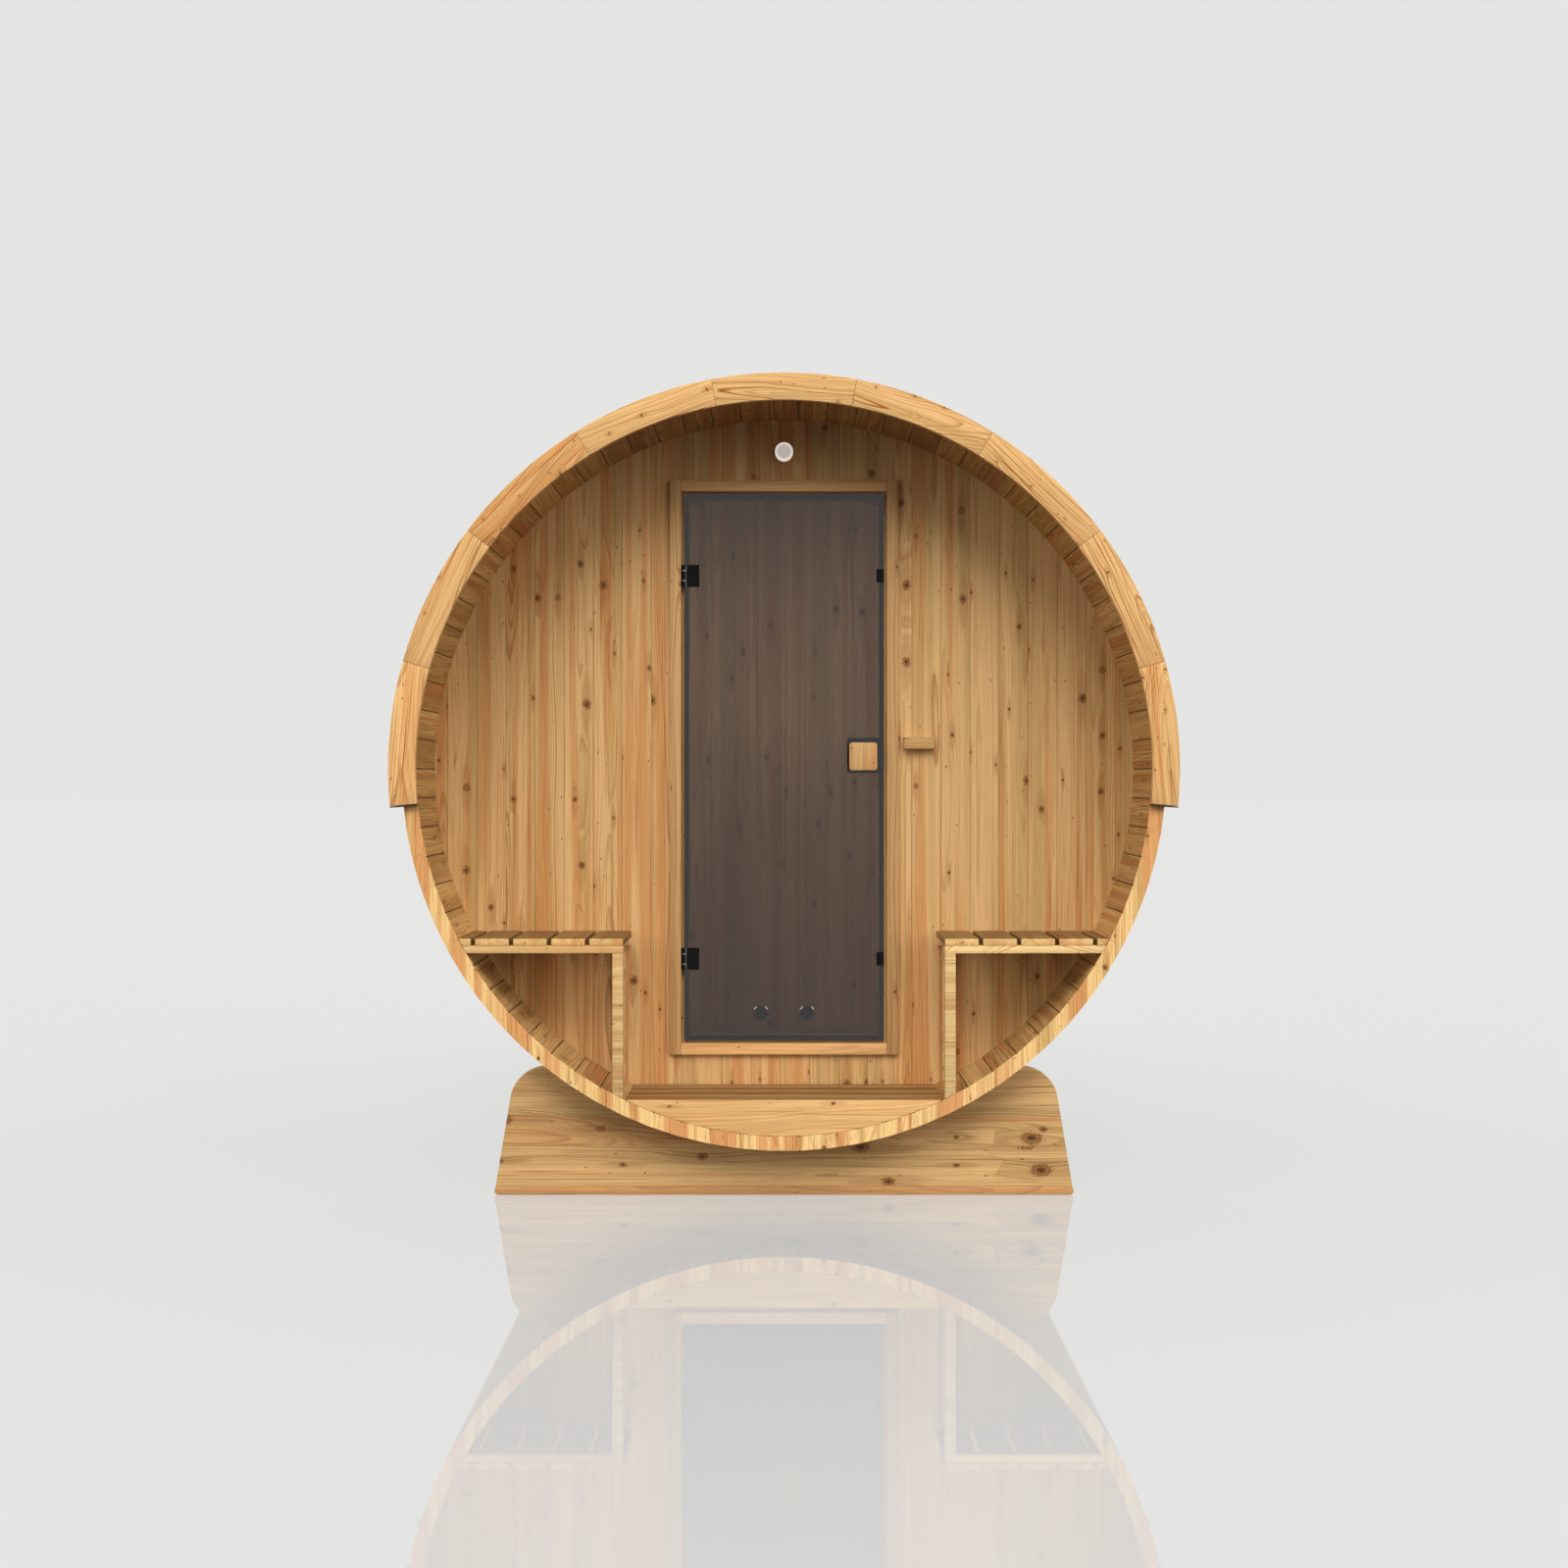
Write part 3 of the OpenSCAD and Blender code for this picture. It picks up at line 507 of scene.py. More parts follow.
def frameBoards(number, halfWidth, low, high, face):
    # two upright boards and two lying between them, the grain along each
    def layOut(tree):
        x, y, z = placesOf(tree)
        sideways = abs(x) - halfWidth
        upright = sideways.calc("GREATER_THAN", 0.0)
        above = z - high
        updown = above.calc("MAXIMUM", low - z)
        board = either(upright, above.calc("SIGN") + 4.0, x.calc("SIGN"))
        return {"Across": either(upright, updown, sideways), "Depth": y - face,
                "Along": either(upright, x, z), "Board": board + number, "Worn": upright}
    return layOut


def postAndRail(number, postTop, face):
    # rails over short legs, the figure of the wood lying across both
    def layOut(tree):
        x, y, z = placesOf(tree)
        rail = z.calc("GREATER_THAN", postTop)
        board = x.calc("SIGN").timesPlus(3.0, rail * 5.0)
        return {"Across": z - postTop, "Depth": y - face, "Along": x, "Board": board + number,
                "Worn": 1.0 - rail}
    return layOut


def finish(rings, knotting, depths, **others):
    # rings: gap, pith depth, wander, swirl; knotting: size, share, cell, stretch
    # depths: tint, late wood, streaks; three numbers among the others are a colour
    values = dict(zip(("Ring Gap", "Pith Depth", "Wander", "Swirl"), rings))
    values.update(zip(("Knot Size", "Knot Share", "Knot Cell", "Knot Stretch"), knotting))
    values.update(zip(("Tint", "Late Depth", "Streak Depth"), depths))
    spelled = {"pithSide": "Pith Side", "seam": "Seam Width", "joint": "Joint Dark", "shade": "Board Shade",
               "pale": "Pale", "late": "Late", "olive": "Olive", "rose": "Rose", "worn": "Darkening Color"}
    for label, value in others.items():
        values[spelled.get(label, label)] = tone(*value) if isinstance(value, tuple) else value
    return values


# the darkening colours: painted shade on the inner, side and upward faces each finish names, and a darker
# tone on the casing's uprights and the bench legs
finishes = {
    "wall": finish((0.0042, 0.030, 0.035, 0.0035), (0.0098, 0.55, 0.22), (0.78, 0.65, 0.50), joint=0.24,
                   pale=(221, 178, 120), late=(156, 94, 44), olive=(192, 156, 98), rose=(203, 142, 84)),
    "stave": finish((0.0048, 0.02, 0.07, 0.010), (0.006, 0.6, 0.12), (0.9,), pithSide=0.06, joint=0.75,
                    shade=0.24, pale=(244, 202, 135), late=(156, 99, 47), wornFaces="inside",
                    worn=(194, 182, 167), seam=0.0028),
    "roof": finish((0.0040, 0.03, 0.05, 0.006), (0.008, 0.35, 0.22), (0.7,), pithSide=0.05, joint=0.6,
                   shade=0.14, late=(196, 134, 74)),
    "fascia": finish((0.0046, 0.030, 0.10, 0.016), (0.0060, 0.65, 0.10, 0.45), (0.6, 1.0, 1.0), joint=0.12,
                     pale=(239, 191, 127), late=(168, 104, 46), rose=(226, 156, 90),
                     olive=(222, 172, 108)),
    "bench": finish((0.0045, 0.035, 0.05, 0.006), (0.008, 0.3, 0.25), (0.6, 0.7, 0.8), shade=0.12,
                    wornFaces="side", worn=(150, 143, 135)),
    "benchFrame": finish((0.0060, 0.030, 0.25, 0.024), (0.004, 0.1, 0.25), (0.5, 0.6, 0.5),
                         pale=(255, 217, 152), worn=(222, 221, 220)),
    "floor": finish((0.0045, 0.035, 0.06, 0.008), (0.006, 0.5, 0.2), (0.9, 0.9, 1.0), joint=0.95,
                    shade=0.14, seam=0.0050, wornFaces="up", worn=(184, 177, 167)),
    "frontBoard": finish((0.0055, 0.035, 0.06, 0.008), (0.0045, 0.5, 0.2), (0.35, 0.7, 0.7),
                         pale=(255, 208, 140), olive=(236, 184, 116), rose=(240, 176, 108), wornFaces="up",
                         worn=(182, 174, 162)),
    "cradle": finish((0.0052, 0.05, 0.045, 0.007), (0.0150, 0.6, 0.24, 1.7), (0.5, 0.95, 0.75), joint=0.05,
                     pale=(226, 182, 122), late=(146, 100, 54), olive=(188, 152, 98),
                     rose=(206, 146, 90)),
    "sole": finish((0.0050, 0.05, 0.06, 0.008), (0.004, 0.2, 0.30), (0.8, 0.7, 0.7), pale=(200, 148, 94),
                   late=(146, 91, 45), olive=(184, 140, 88), rose=(192, 126, 74)),
    # the jambs, head and sill: wood toned darker than the casing, as painted shade in the recess round the
    # glass
    "jamb": finish((0.0040, 0.04, 0.04, 0.006), (0.005, 0.1, 0.25), (0.5, 0.6, 0.6), pale=(214, 172, 120),
                   late=(154, 102, 56), olive=(186, 148, 96), rose=(194, 140, 90)),
    "casing": finish((0.0040, 0.04, 0.04, 0.006), (0.005, 0.3, 0.20), (0.7, 0.8, 0.7), pale=(236, 187, 124),
                     late=(166, 108, 56), olive=(200, 158, 100), rose=(212, 148, 92),
                     worn=(222, 221, 220)),
    "peg": finish((0.0042, 0.012, 0.06, 0.008), (0.003, 0.1, 0.25), (0.4, 1.0, 0.6), pale=(201, 159, 105),
                  late=(128, 82, 41)),
    "trim": finish((0.0028, 0.03, 0.04, 0.005), (0.0022, 0.7, 0.03), (0.8, 0.7, 0.9), pale=(216, 174, 118),
                   rose=(204, 141, 86), olive=(184, 147, 96)),
}
finishes["porchFloor"] = {**finishes["floor"], "Seam Width": 0.0115}

wallBoard = 0.0823
woods = {
    "wallLeft": ("wall", straightBoards("XYZ", -0.376, wallBoard, barrel["frontWall"])),
    "wallRight": ("wall", straightBoards("XYZ", 0.362, wallBoard, barrel["frontWall"], 60)),
    "wallMiddle": ("wall", straightBoards("XYZ", -0.010, wallBoard, barrel["frontWall"], 120)),
    "wallBack": ("wall", straightBoards("XYZ", -0.010, wallBoard, barrel["backWall"], 180)),
    "staves": ("stave", roundBoards(barrel["staveStep"], barrel["innerRadius"])),
    "roofBoards": ("roof", roundBoards(barrel["roofStep"], barrel["roofRadius"], 90)),
    "fasciaFront": ("fascia", roundSegments(*barrel["fascia"], -barrel["halfLength"], 7)),
    "fasciaRear": ("fascia", roundSegments(*barrel["fascia"], barrel["halfLength"], 27)),
    "benchSlats": ("bench", slatBoards(0.4276, 0.1024, 0.713)),
    "benchFrames": ("benchFrame", postAndRail(3, 0.6732, -0.955)),
    "porchFloor": ("porchFloor", straightBoards("YZX", -0.927, 0.0957, barrel["floorHeight"], 11)),
    "cabinFloor": ("floor", straightBoards("YZX", -0.600, 0.09633, barrel["floorHeight"], 31)),
    "frontBoard": ("frontBoard", plainPiece(5, "ZYX", (0.23, -0.955, 0.0))),
    "cradles": ("cradle", straightBoards("ZYX", 0.024, 0.110, barrel["cradleFront"], 4)),
    "soles": ("sole", plainPiece(2, "ZYX", (0.012, barrel["cradleFront"], 0.0))),
    "casing": ("casing", frameBoards(21, 0.291, 0.396, 1.955, -0.656)),
    "jambs": ("jamb", plainPiece(8, "XYZ", (0.30, -0.60, 0.0))),
    "headAndSill": ("jamb", plainPiece(9, "ZYX", (0.38, -0.60, 0.0))),
    "handle": ("trim", plainPiece(12, "XYZ", (0.20, -0.68, 1.2))),
    "peg": ("peg", plainPiece(14, "ZYX", (1.23, -0.665, 0.38))),
    "ribs": ("floor", plainPiece(16, "YZX")),
}
materials = {name: woodMaterial(name, layOut, finishes[kind]) for name, (kind, layOut) in woods.items()}
print("wood finishes made:", len(materials))


def seenDirectly(tree):
    # one for what is looked at, in a mirror or through glass too, and none for light on its way elsewhere
    path = tree.nodes.new("ShaderNodeLightPath")
    rays = ("Is Camera Ray", "Is Glossy Ray", "Is Transmission Ray")
    camera, glossy, through = (Wire(tree, path.outputs[ray]) for ray in rays)
    return camera.calc("MAXIMUM", glossy).calc("MAXIMUM", through)


def metalMaterial(name, values):
    material, tree, shader = newMaterial(name)
    place = tree.nodes.new("ShaderNodeVectorMath")
    place.operation = "MULTIPLY"
    speck = noiseAt(tree, fill(tree, place, {0: objectPlace(tree), 1: values["scale"]}), 2.0, 0.6)
    colour = blendColour(tree, speck.spread(0.35, 0.7), tone(*values["dark"]), tone(*values["light"]))
    feedAll(tree, shader, {"Base Color": colour, "Roughness": speck.spread(0.3, 0.7, *values["rough"]),
                           "Metallic": values.get("metallic", 0.0),
                           "Specular IOR Level": values.get("shine", 0.3)})
    if "glow" in values:
        glow = blendColour(tree, seenDirectly(tree), (0.0, 0.0, 0.0, 1.0), colour)
        feedAll(tree, shader, {"Emission Color": glow, "Emission Strength": values["glow"]})
    addBump(tree, shader, speck, 0.15, 0.0002)
    return material


# painted light: the porch light's housing, pad and grille and the vent clips glow so that they read bright
# where they are seen; the glow lights nothing around them
metalLooks = {
    "blackMetal": {"dark": (18, 18, 18), "light": (28, 28, 27), "rough": (0.42, 0.58), "shine": 0.05,
                   "scale": (900, 900, 900)},
    "hoopSteel": {"dark": (150, 150, 150), "light": (186, 186, 184), "rough": (0.25, 0.42), "metallic": 1.0,
                  "scale": (60, 1800, 60)},
    "spindleSteel": {"dark": (130, 130, 130), "light": (160, 160, 158), "rough": (0.25, 0.4),
                     "metallic": 1.0, "scale": (800, 60, 800)},
    "dripMetal": {"dark": (58, 40, 26), "light": (78, 56, 38), "rough": (0.5, 0.7),
                  "scale": (400, 400, 400)},
    "ventMetal": {"dark": (82, 87, 94), "light": (106, 111, 119), "rough": (0.35, 0.5), "metallic": 0.5,
                  "scale": (700, 700, 700)},
    "dullSteel": {"dark": (84, 88, 84), "light": (112, 116, 111), "rough": (0.4, 0.55),
                  "scale": (300, 300, 1400)},
    "padGrey": {"dark": (158, 151, 143), "light": (174, 167, 159), "rough": (0.5, 0.65),
                "scale": (900, 900, 900), "glow": 0.45},
    "paintedGlintClip": {"dark": (240, 212, 186), "light": (255, 230, 206), "rough": (0.3, 0.45),
                 "scale": (300, 300, 1400), "glow": 4.5},
    "brightSteel": {"dark": (176, 176, 174), "light": (206, 206, 203), "rough": (0.22, 0.38),
                    "metallic": 1.0, "scale": (300, 300, 1400)},
    "grilleWire": {"dark": (206, 200, 192), "light": (226, 220, 211), "rough": (0.35, 0.5),
                   "scale": (900, 900, 900), "glow": 0.85},
    "lightWhite": {"dark": (222, 212, 200), "light": (236, 227, 215), "rough": (0.38, 0.5),
                   "scale": (600, 600, 600), "glow": 0.82},
}
for name, values in metalLooks.items():
    materials[name] = metalMaterial(name, values)

glassLook = {"deep": tone(82, 82, 86), "clear": tone(92, 92, 96), "rough": (0.0, 0.008), "bend": 1.60,
             "cloudScales": (3.0, 1.3)}


def glassMaterial(name, values):
    material, tree, shader = newMaterial(name)
    x, y, z = placesOf(tree)
    acrossScale, upScale = values["cloudScales"]
    cloud = noiseAt(tree, joinVector(tree, x * acrossScale, y, z * upScale), 2.0)
    colour = blendColour(tree, cloud.spread(0.3, 0.7), values["deep"], values["clear"])
    feedAll(tree, shader, {"Base Color": colour, "Roughness": cloud.spread(0.3, 0.7, *values["rough"]),
                           "Transmission Weight": 1.0, "IOR": values["bend"]})
    return material


materials["doorGlass"] = glassMaterial("doorGlass", glassLook)
print("metal and glass finishes made")

nodeFinish = {
    "staves": ["staves_bottom", "staves_left_low", "staves_left_mid", "staves_left_high", "staves_top",
               "staves_right_low", "staves_right_mid", "staves_right_high"],
    "hoopSteel": ["steel_hoops"],
    "wallLeft": ["front_wall_left"],
    "wallRight": ["front_wall_right"],
    "wallMiddle": ["front_wall_over_door", "front_wall_below_door"],
    "wallBack": ["back_wall"],
    "ventMetal": ["back_vents"],
    "jambs": ["door_jambs"],
    "headAndSill": ["door_head", "door_sill"],
    "casing": ["door_casing"],
    "doorGlass": ["door_glass"],
    "blackMetal": ["hinge_clamps", "hinge_leaves", "strike_plates"],
    "handle": ["handle_outer", "handle_inner"],
    "spindleSteel": ["handle_spindle"],
    "lightWhite": ["porch_light_base", "porch_light_lens"],
    "peg": ["towel_peg"],
    "benchSlats": ["bench_slats_left", "bench_slats_right"],
    "benchFrames": ["bench_frames_left", "bench_frames_right"],
    "porchFloor": ["porch_floor"],
    "frontBoard": ["floor_front_board"],
    "cabinFloor": ["cabin_floor"],
    "ribs": ["floor_bearers", "roof_ribs"],
    "roofBoards": ["roof_boards_left", "roof_boards_top", "roof_boards_right"],
    "fasciaFront": ["fascia_front"],
    "fasciaRear": ["fascia_rear"],
    "dripMetal": ["drip_strips"],
    "cradles": ["cradle_front", "cradle_rear"],
    "soles": ["cradle_soles"],
}
for look, names in nodeFinish.items():
    for name in names:
        for materialSlot in cadNodes[name].material_slots:
            materialSlot.material = materials[look]
print("finishes given to the solids")


def addObject(name, data):
    holder = bpy.data.objects.new(name, data)
    bpy.context.scene.collection.objects.link(holder)
    return holder


def pickOnly(piece):
    bpy.ops.object.select_all(action="DESELECT")
    piece.select_set(True)
    bpy.context.view_layer.objects.active = piece


def takeOffEdges(piece, width, segments, angle):
    # bevels the edges that turn by more than the angle
    modifier = piece.modifiers.new("edge", "BEVEL")
    modifier.width = width
    modifier.segments = segments
    modifier.limit_method = "ANGLE"
    modifier.angle_limit = math.radians(angle)
    pickOnly(piece)
    bpy.ops.object.modifier_apply(modifier=modifier.name)


def applyPlace():
    bpy.ops.object.transform_apply(location=True, rotation=True, scale=True)
    return bpy.context.active_object


def joinPieces(parts, name):
    bpy.ops.object.select_all(action="DESELECT")
    for part in parts:
        part.select_set(True)
    bpy.context.view_layer.objects.active = parts[0]
    if len(parts) > 1:
        bpy.ops.object.join()
    piece = applyPlace()
    piece.name = name
    return piece


def settle(piece, body, slotName, look, nodes=()):
    # gives a finished piece its material, its body and the solids it stands for
    piece.data.materials.clear()
    piece.data.materials.append(materials[look])
    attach(piece, body)
    if nodes:
        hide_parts(*nodes)


def selectFaces(piece, test):
    # selects the faces whose middle and normal pass the test, in edit mode
    bpy.ops.object.mode_set(mode="OBJECT")
    for face in piece.data.polygons:
        face.select = bool(test(face.center, face.normal))
    for part in (*piece.data.edges, *piece.data.vertices):
        part.select = False
    bpy.ops.object.mode_set(mode="EDIT")
    bpy.ops.mesh.select_mode(type="FACE")


def selectEdges(piece, test):
    # selects the edges whose two ends pass the test, in edit mode
    bpy.ops.object.mode_set(mode="EDIT")
    bpy.ops.mesh.select_mode(type="EDGE")
    bpy.ops.mesh.select_all(action="DESELECT")
    bpy.ops.object.mode_set(mode="OBJECT")
    for edge in piece.data.edges:
        first, second = (piece.data.vertices[index].co for index in edge.vertices)
        edge.select = bool(test(first, second))
    bpy.ops.object.mode_set(mode="EDIT")


def runsAlong(first, second, axis):
    return abs((first - second).normalized()[axis]) > 0.99


# planed wood with its edges taken off: the solids' own shapes, rounded a little
softened = [
    {"nodes": ["fascia_front", "fascia_rear"], "edge": 0.0012, "slot": "fascia_wood"},
    {"nodes": ["bench_slats_left", "bench_slats_right"], "edge": 0.0025, "slot": "bench_wood"},
    {"nodes": ["bench_frames_left", "bench_frames_right"], "edge": 0.0020, "slot": "bench_wood"},
    {"nodes": ["door_casing"], "edge": 0.0015, "slot": "trim_wood"},
    {"nodes": ["cradle_front", "cradle_rear"], "edge": 0.0015, "slot": "cradle_wood"},
    {"nodes": ["cradle_soles"], "edge": 0.0010, "slot": "cradle_wood"},
    {"nodes": ["floor_front_board"], "edge": 0.0012, "slot": "floor_wood"},
    {"nodes": ["porch_floor"], "edge": 0.0055, "slot": "floor_wood", "topEdges": 0.27,
     "name": "porchFloorBoards"},
    {"nodes": ["handle_outer", "handle_inner"], "edge": 0.0030, "slot": "trim_wood", "body": "door"},
    {"nodes": ["towel_peg"], "edge": 0.0030, "slot": "trim_wood"},
]


def pieceName(node):
    first, *others = node.split("_")
    return first + "".join(part.title() for part in others)


def softenWood(node, values):
    piece = addObject(values.get("name", pieceName(node)), cadNodes[node].data.copy())
    pickOnly(piece)
    bpy.ops.mesh.customdata_custom_splitnormals_clear()
    bpy.ops.object.mode_set(mode="EDIT")
    bpy.ops.mesh.select_all(action="SELECT")
    bpy.ops.mesh.remove_doubles(threshold=0.00002)
    bpy.ops.mesh.dissolve_limited(angle_limit=math.radians(0.6))
    bpy.ops.object.mode_set(mode="OBJECT")
    if "topEdges" in values:
        # only the long edges above that height, and rounder
        low = values["topEdges"]
        selectEdges(piece, lambda first, second: first.z > low and runsAlong(first, second, 0))
        bpy.ops.mesh.bevel(offset=values["edge"], segments=3)
        bpy.ops.object.mode_set(mode="OBJECT")
    else:
        takeOffEdges(piece, values["edge"], 2, 38)
    bpy.ops.object.shade_smooth_by_angle(angle=math.radians(36))
    look = cadNodes[node].material_slots[0].material.name
    settle(piece, values.get("body", "cabin"), values["slot"], look, [node])


for values in softened:
    for node in values["nodes"]:
        softenWood(node, values)
print("wood edges rounded")


def smoothSides():
    bpy.ops.object.shade_smooth_by_angle(angle=math.radians(40))


def copyOnto(model, places, name):
    # one model set down at every place with its turn and stretch, each copy with its own mesh
    copies = []
    for location, turn, stretch in places:
        copy = addObject(name, model.data.copy())
        copy.location = location
        copy.rotation_euler = turn
        copy.scale = stretch
        copies.append(copy)
    bpy.data.objects.remove(model)
    piece = joinPieces(copies, name)
    smoothSides()
    return piece


def addRod(sides, radius, depth, edge=0.0, segments=2, **place):
    # a short rod along Z unless turned, its end edges taken off
    bpy.ops.object.select_all(action="DESELECT")
    bpy.ops.mesh.primitive_cylinder_add(vertices=sides, radius=radius, depth=depth, **place)
    piece = applyPlace()
    if edge:
        takeOffEdges(piece, edge, segments, 50)
    return piece


def addBlock(size, edge=0.0, **place):
    bpy.ops.object.select_all(action="DESELECT")
    bpy.ops.mesh.primitive_cube_add(size=1, scale=size, **place)
    piece = applyPlace()
    if edge:
        takeOffEdges(piece, edge, 2, 50)
    return piece


faceOut = (math.radians(90), 0, 0)
noTurn = (0, 0, 0)
plain = (1, 1, 1)

# porch light: a white housing with a raised rim, a grey pad behind a grille, all three glowing as painted
# light, and a black ring on the wall shifted up and left as painted shadow
porchLight = {
    "place": (0.0, barrel["frontWall"], 2.0665), "sides": 64, "radius": 0.0253, "depth": 0.030,
    "edge": 0.0012, "rim": 0.0052, "sink": 0.0045, "padDepth": 0.0014, "padGap": 0.0004, "padOut": 0.0005,
    "wireGap": 0.0058, "wireRadius": 0.00085, "wireEdge": 0.0002, "wireShort": 0.0006, "wireIn": 0.0022,
    "wireBow": 0.0011, "shadowRingRadius": 0.0262, "shadowRingDepth": 0.0030, "shadowRingEdge": 0.0008,
    "shadowRingShift": (-0.0016, 0.0024)}


def makePorchLight():
    values = porchLight
    x, y, z = values["place"]
    front = y - values["depth"]
    housing = addRod(values["sides"], values["radius"], values["depth"],
                     location=(x, y - values["depth"] / 2, z), rotation=faceOut)
    selectFaces(housing, lambda middle, normal: normal.y < -0.9 and middle.y < front + 0.0001)
    bpy.ops.mesh.inset(thickness=values["rim"])
    bpy.ops.mesh.extrude_region_move(TRANSFORM_OT_translate={"value": (0, values["sink"], 0)})
    bpy.ops.object.mode_set(mode="OBJECT")
    takeOffEdges(housing, values["edge"], 3, 50)
    smoothSides()
    housing.name = "porchLightHousing"
    settle(housing, "cabin", "light_white", "lightWhite", ["porch_light_base", "porch_light_lens"])

    reach = values["radius"] - values["rim"]
    pad = addRod(values["sides"], reach - values["padGap"], values["padDepth"], values["padGap"])
    places = [((x, front + values["sink"] - values["padOut"], z), faceOut, plain)]
    settle(copyOnto(pad, places, "porchLightPad"), "cabin", "light_white", "padGrey")
    # a black ring behind the housing, shifted up and left so that only a thin arc shows: a painted shadow
    # on the wall
    sideways, upward = values["shadowRingShift"]
    shadowRing = addRod(values["sides"], values["shadowRingRadius"], values["shadowRingDepth"], values["shadowRingEdge"])
    places = [((x + sideways, y - values["shadowRingDepth"] / 2, z + upward), faceOut, plain)]
    settle(copyOnto(shadowRing, places, "porchLightShadowRing"), "cabin", "black_metal", "blackMetal")

    places = []
    count = int(reach / values["wireGap"])
    for angle in (math.radians(45), math.radians(-45)):
        for number in range(-count, count + 1):
            off = number * values["wireGap"]
            length = 2 * math.sqrt(reach ** 2 - off ** 2) - values["wireShort"]
            # the grille stands out a little in the middle
            bow = values["wireBow"] * (1 - (off / reach) ** 2)
            at = (x + off * math.cos(angle), front + values["wireIn"] - bow, z - off * math.sin(angle))
            places.append((at, (0, angle, 0), (1, 1, length)))
    wire = addRod(8, values["wireRadius"], 1.0, values["wireEdge"], 1)
    settle(copyOnto(wire, places, "porchLightGrille"), "cabin", "light_white", "grilleWire")


# hinge links and thin edge strips, and dark plates before and behind the glass at the wooden handle as
# painted shadow: the outer one shifted left of the handle, the inner one a larger dark square round it
hingeTrim = {
    "axisY": -0.652, "heights": (0.634, 1.717), "linkX": -0.2822, "linkOff": 0.0143, "linkRadius": 0.0066,
    "linkDepth": 0.0026, "linkEdge": 0.0006, "linkStretch": (1, 0.8, 1), "stripX": -0.2771,
    "stripOut": 0.0018, "strip": (0.0024, 0.0016, 0.0600), "stripEdge": 0.0005}
handleShadowPlates = [
    {"name": "handlePlate", "x": 0.218, "z": 1.206, "side": 0.076, "corner": 0.008, "back": -0.6576},
    {"name": "handleShadowInside", "x": 0.2285, "z": 1.209, "side": 0.100, "corner": 0.006, "back": -0.6345},
]
plateDepth = 0.0030
plateEdge = 0.0006


def makeHingeTrim():
    values = hingeTrim
    y = values["axisY"]
    places = [((values["linkX"], y, middle + side * values["linkOff"]), noTurn, values["linkStretch"])
              for middle in values["heights"] for side in (-1, 1)]
    link = addRod(32, values["linkRadius"], values["linkDepth"], values["linkEdge"])
    settle(copyOnto(link, places, "hingeLinks"), "door", "spindle_steel", "brightSteel")
    places = [((values["stripX"], y - values["stripOut"], middle), noTurn, plain)
              for middle in values["heights"]]
    strip = addBlock(values["strip"], values["stripEdge"])
    settle(copyOnto(strip, places, "hingeStrips"), "door", "spindle_steel", "dullSteel")


# a black plate with rounded corners, as painted shadow at the handle
def makeHandleShadowPlate(values):
    plate = addBlock((values["side"], plateDepth, values["side"]),
                     location=(values["x"], values["back"] - plateDepth / 2, values["z"]))
    selectEdges(plate, lambda first, second: runsAlong(first, second, 1))
    bpy.ops.mesh.bevel(offset=values["corner"], segments=6)
    bpy.ops.object.mode_set(mode="OBJECT")
    takeOffEdges(plate, plateEdge, 2, 50)
    smoothSides()
    plate.name = values["name"]
    settle(plate, "door", "black_metal", "blackMetal")


# countersunk screws in the roof boards, two over each rib, and nuts on the hoops' bolts
roofScrews = {"boards": 41, "off": 0.026, "ribs": 5, "ribReach": 0.9347, "sides": 12, "head": 0.0044,
              "depth": 0.0016, "stand": 0.35, "slotRim": 0.45, "slotDepth": 0.6}
hoopNuts = {"angle": 101.538, "radius": 1.0405, "hoopY": 0.700, "out": 0.0245, "across": 0.0075,
            "depth": 0.0065, "edge": 0.0008}


def placeRound(angle, radius, along, y):
    # a point round the barrel: angle from the top, along the flat
    return (radius * math.sin(angle) + along * math.cos(angle), y,
            barrel["axisHeight"] + radius * math.cos(angle) - along * math.sin(angle))


def makeRoofScrews():
    values = roofScrews
    screw = addRod(values["sides"], values["head"], values["depth"])
    selectFaces(screw, lambda middle, normal: normal.z > 0.9)
    bpy.ops.mesh.inset(thickness=values["head"] * values["slotRim"])
    sink = (0, 0, -values["depth"] * values["slotDepth"])
    bpy.ops.mesh.extrude_region_move(TRANSFORM_OT_translate={"value": sink})
    bpy.ops.object.mode_set(mode="OBJECT")
    places = []
    radius = barrel["roofRadius"] - values["depth"] * values["stand"]
    for board in range(values["boards"]):
        angle = math.radians((board - (values["boards"] - 1) / 2) * barrel["roofStep"])
        for rib in range(values["ribs"]):
            y = -values["ribReach"] + rib * values["ribReach"] / 2
            for side in (-1, 1):
                places.append((placeRound(angle, radius, side * values["off"], y), (0, angle, 0), plain))
    settle(copyOnto(screw, places, "roofScrews"), "cabin", "hoop_steel", "brightSteel")


def makeHoopNuts():
    values = hoopNuts
    places = []
    for side in (-1, 1):
        angle = math.radians(side * values["angle"])
        for y in (-values["hoopY"], values["hoopY"]):
            for end in (-1, 1):
                at = placeRound(angle, values["radius"], end * values["out"], y)
                places.append((at, (0, math.radians(90) + angle, 0), plain))
    nut = addRod(6, values["across"], values["depth"], values["edge"])
    settle(copyOnto(nut, places, "hoopNuts"), "cabin", "hoop_steel", "brightSteel")


# a grille over each face of the back wall's two vents, and two clips over each of them inside that glow as
# painted glints
ventGrille = {
    "x": 0.081, "z": 0.324, "radius": 0.0185, "inside": 0.8455, "outside": 0.8845, "bars": 5, "gap": 0.0062,
    "bar": (1.0, 0.0022, 0.0040), "tilt": 28, "clipRadius": 0.0268, "clipY": 0.8438, "clipAngle": 48,
    "clip": (0.0130, 0.0024, 0.0042), "edge": 0.0005}


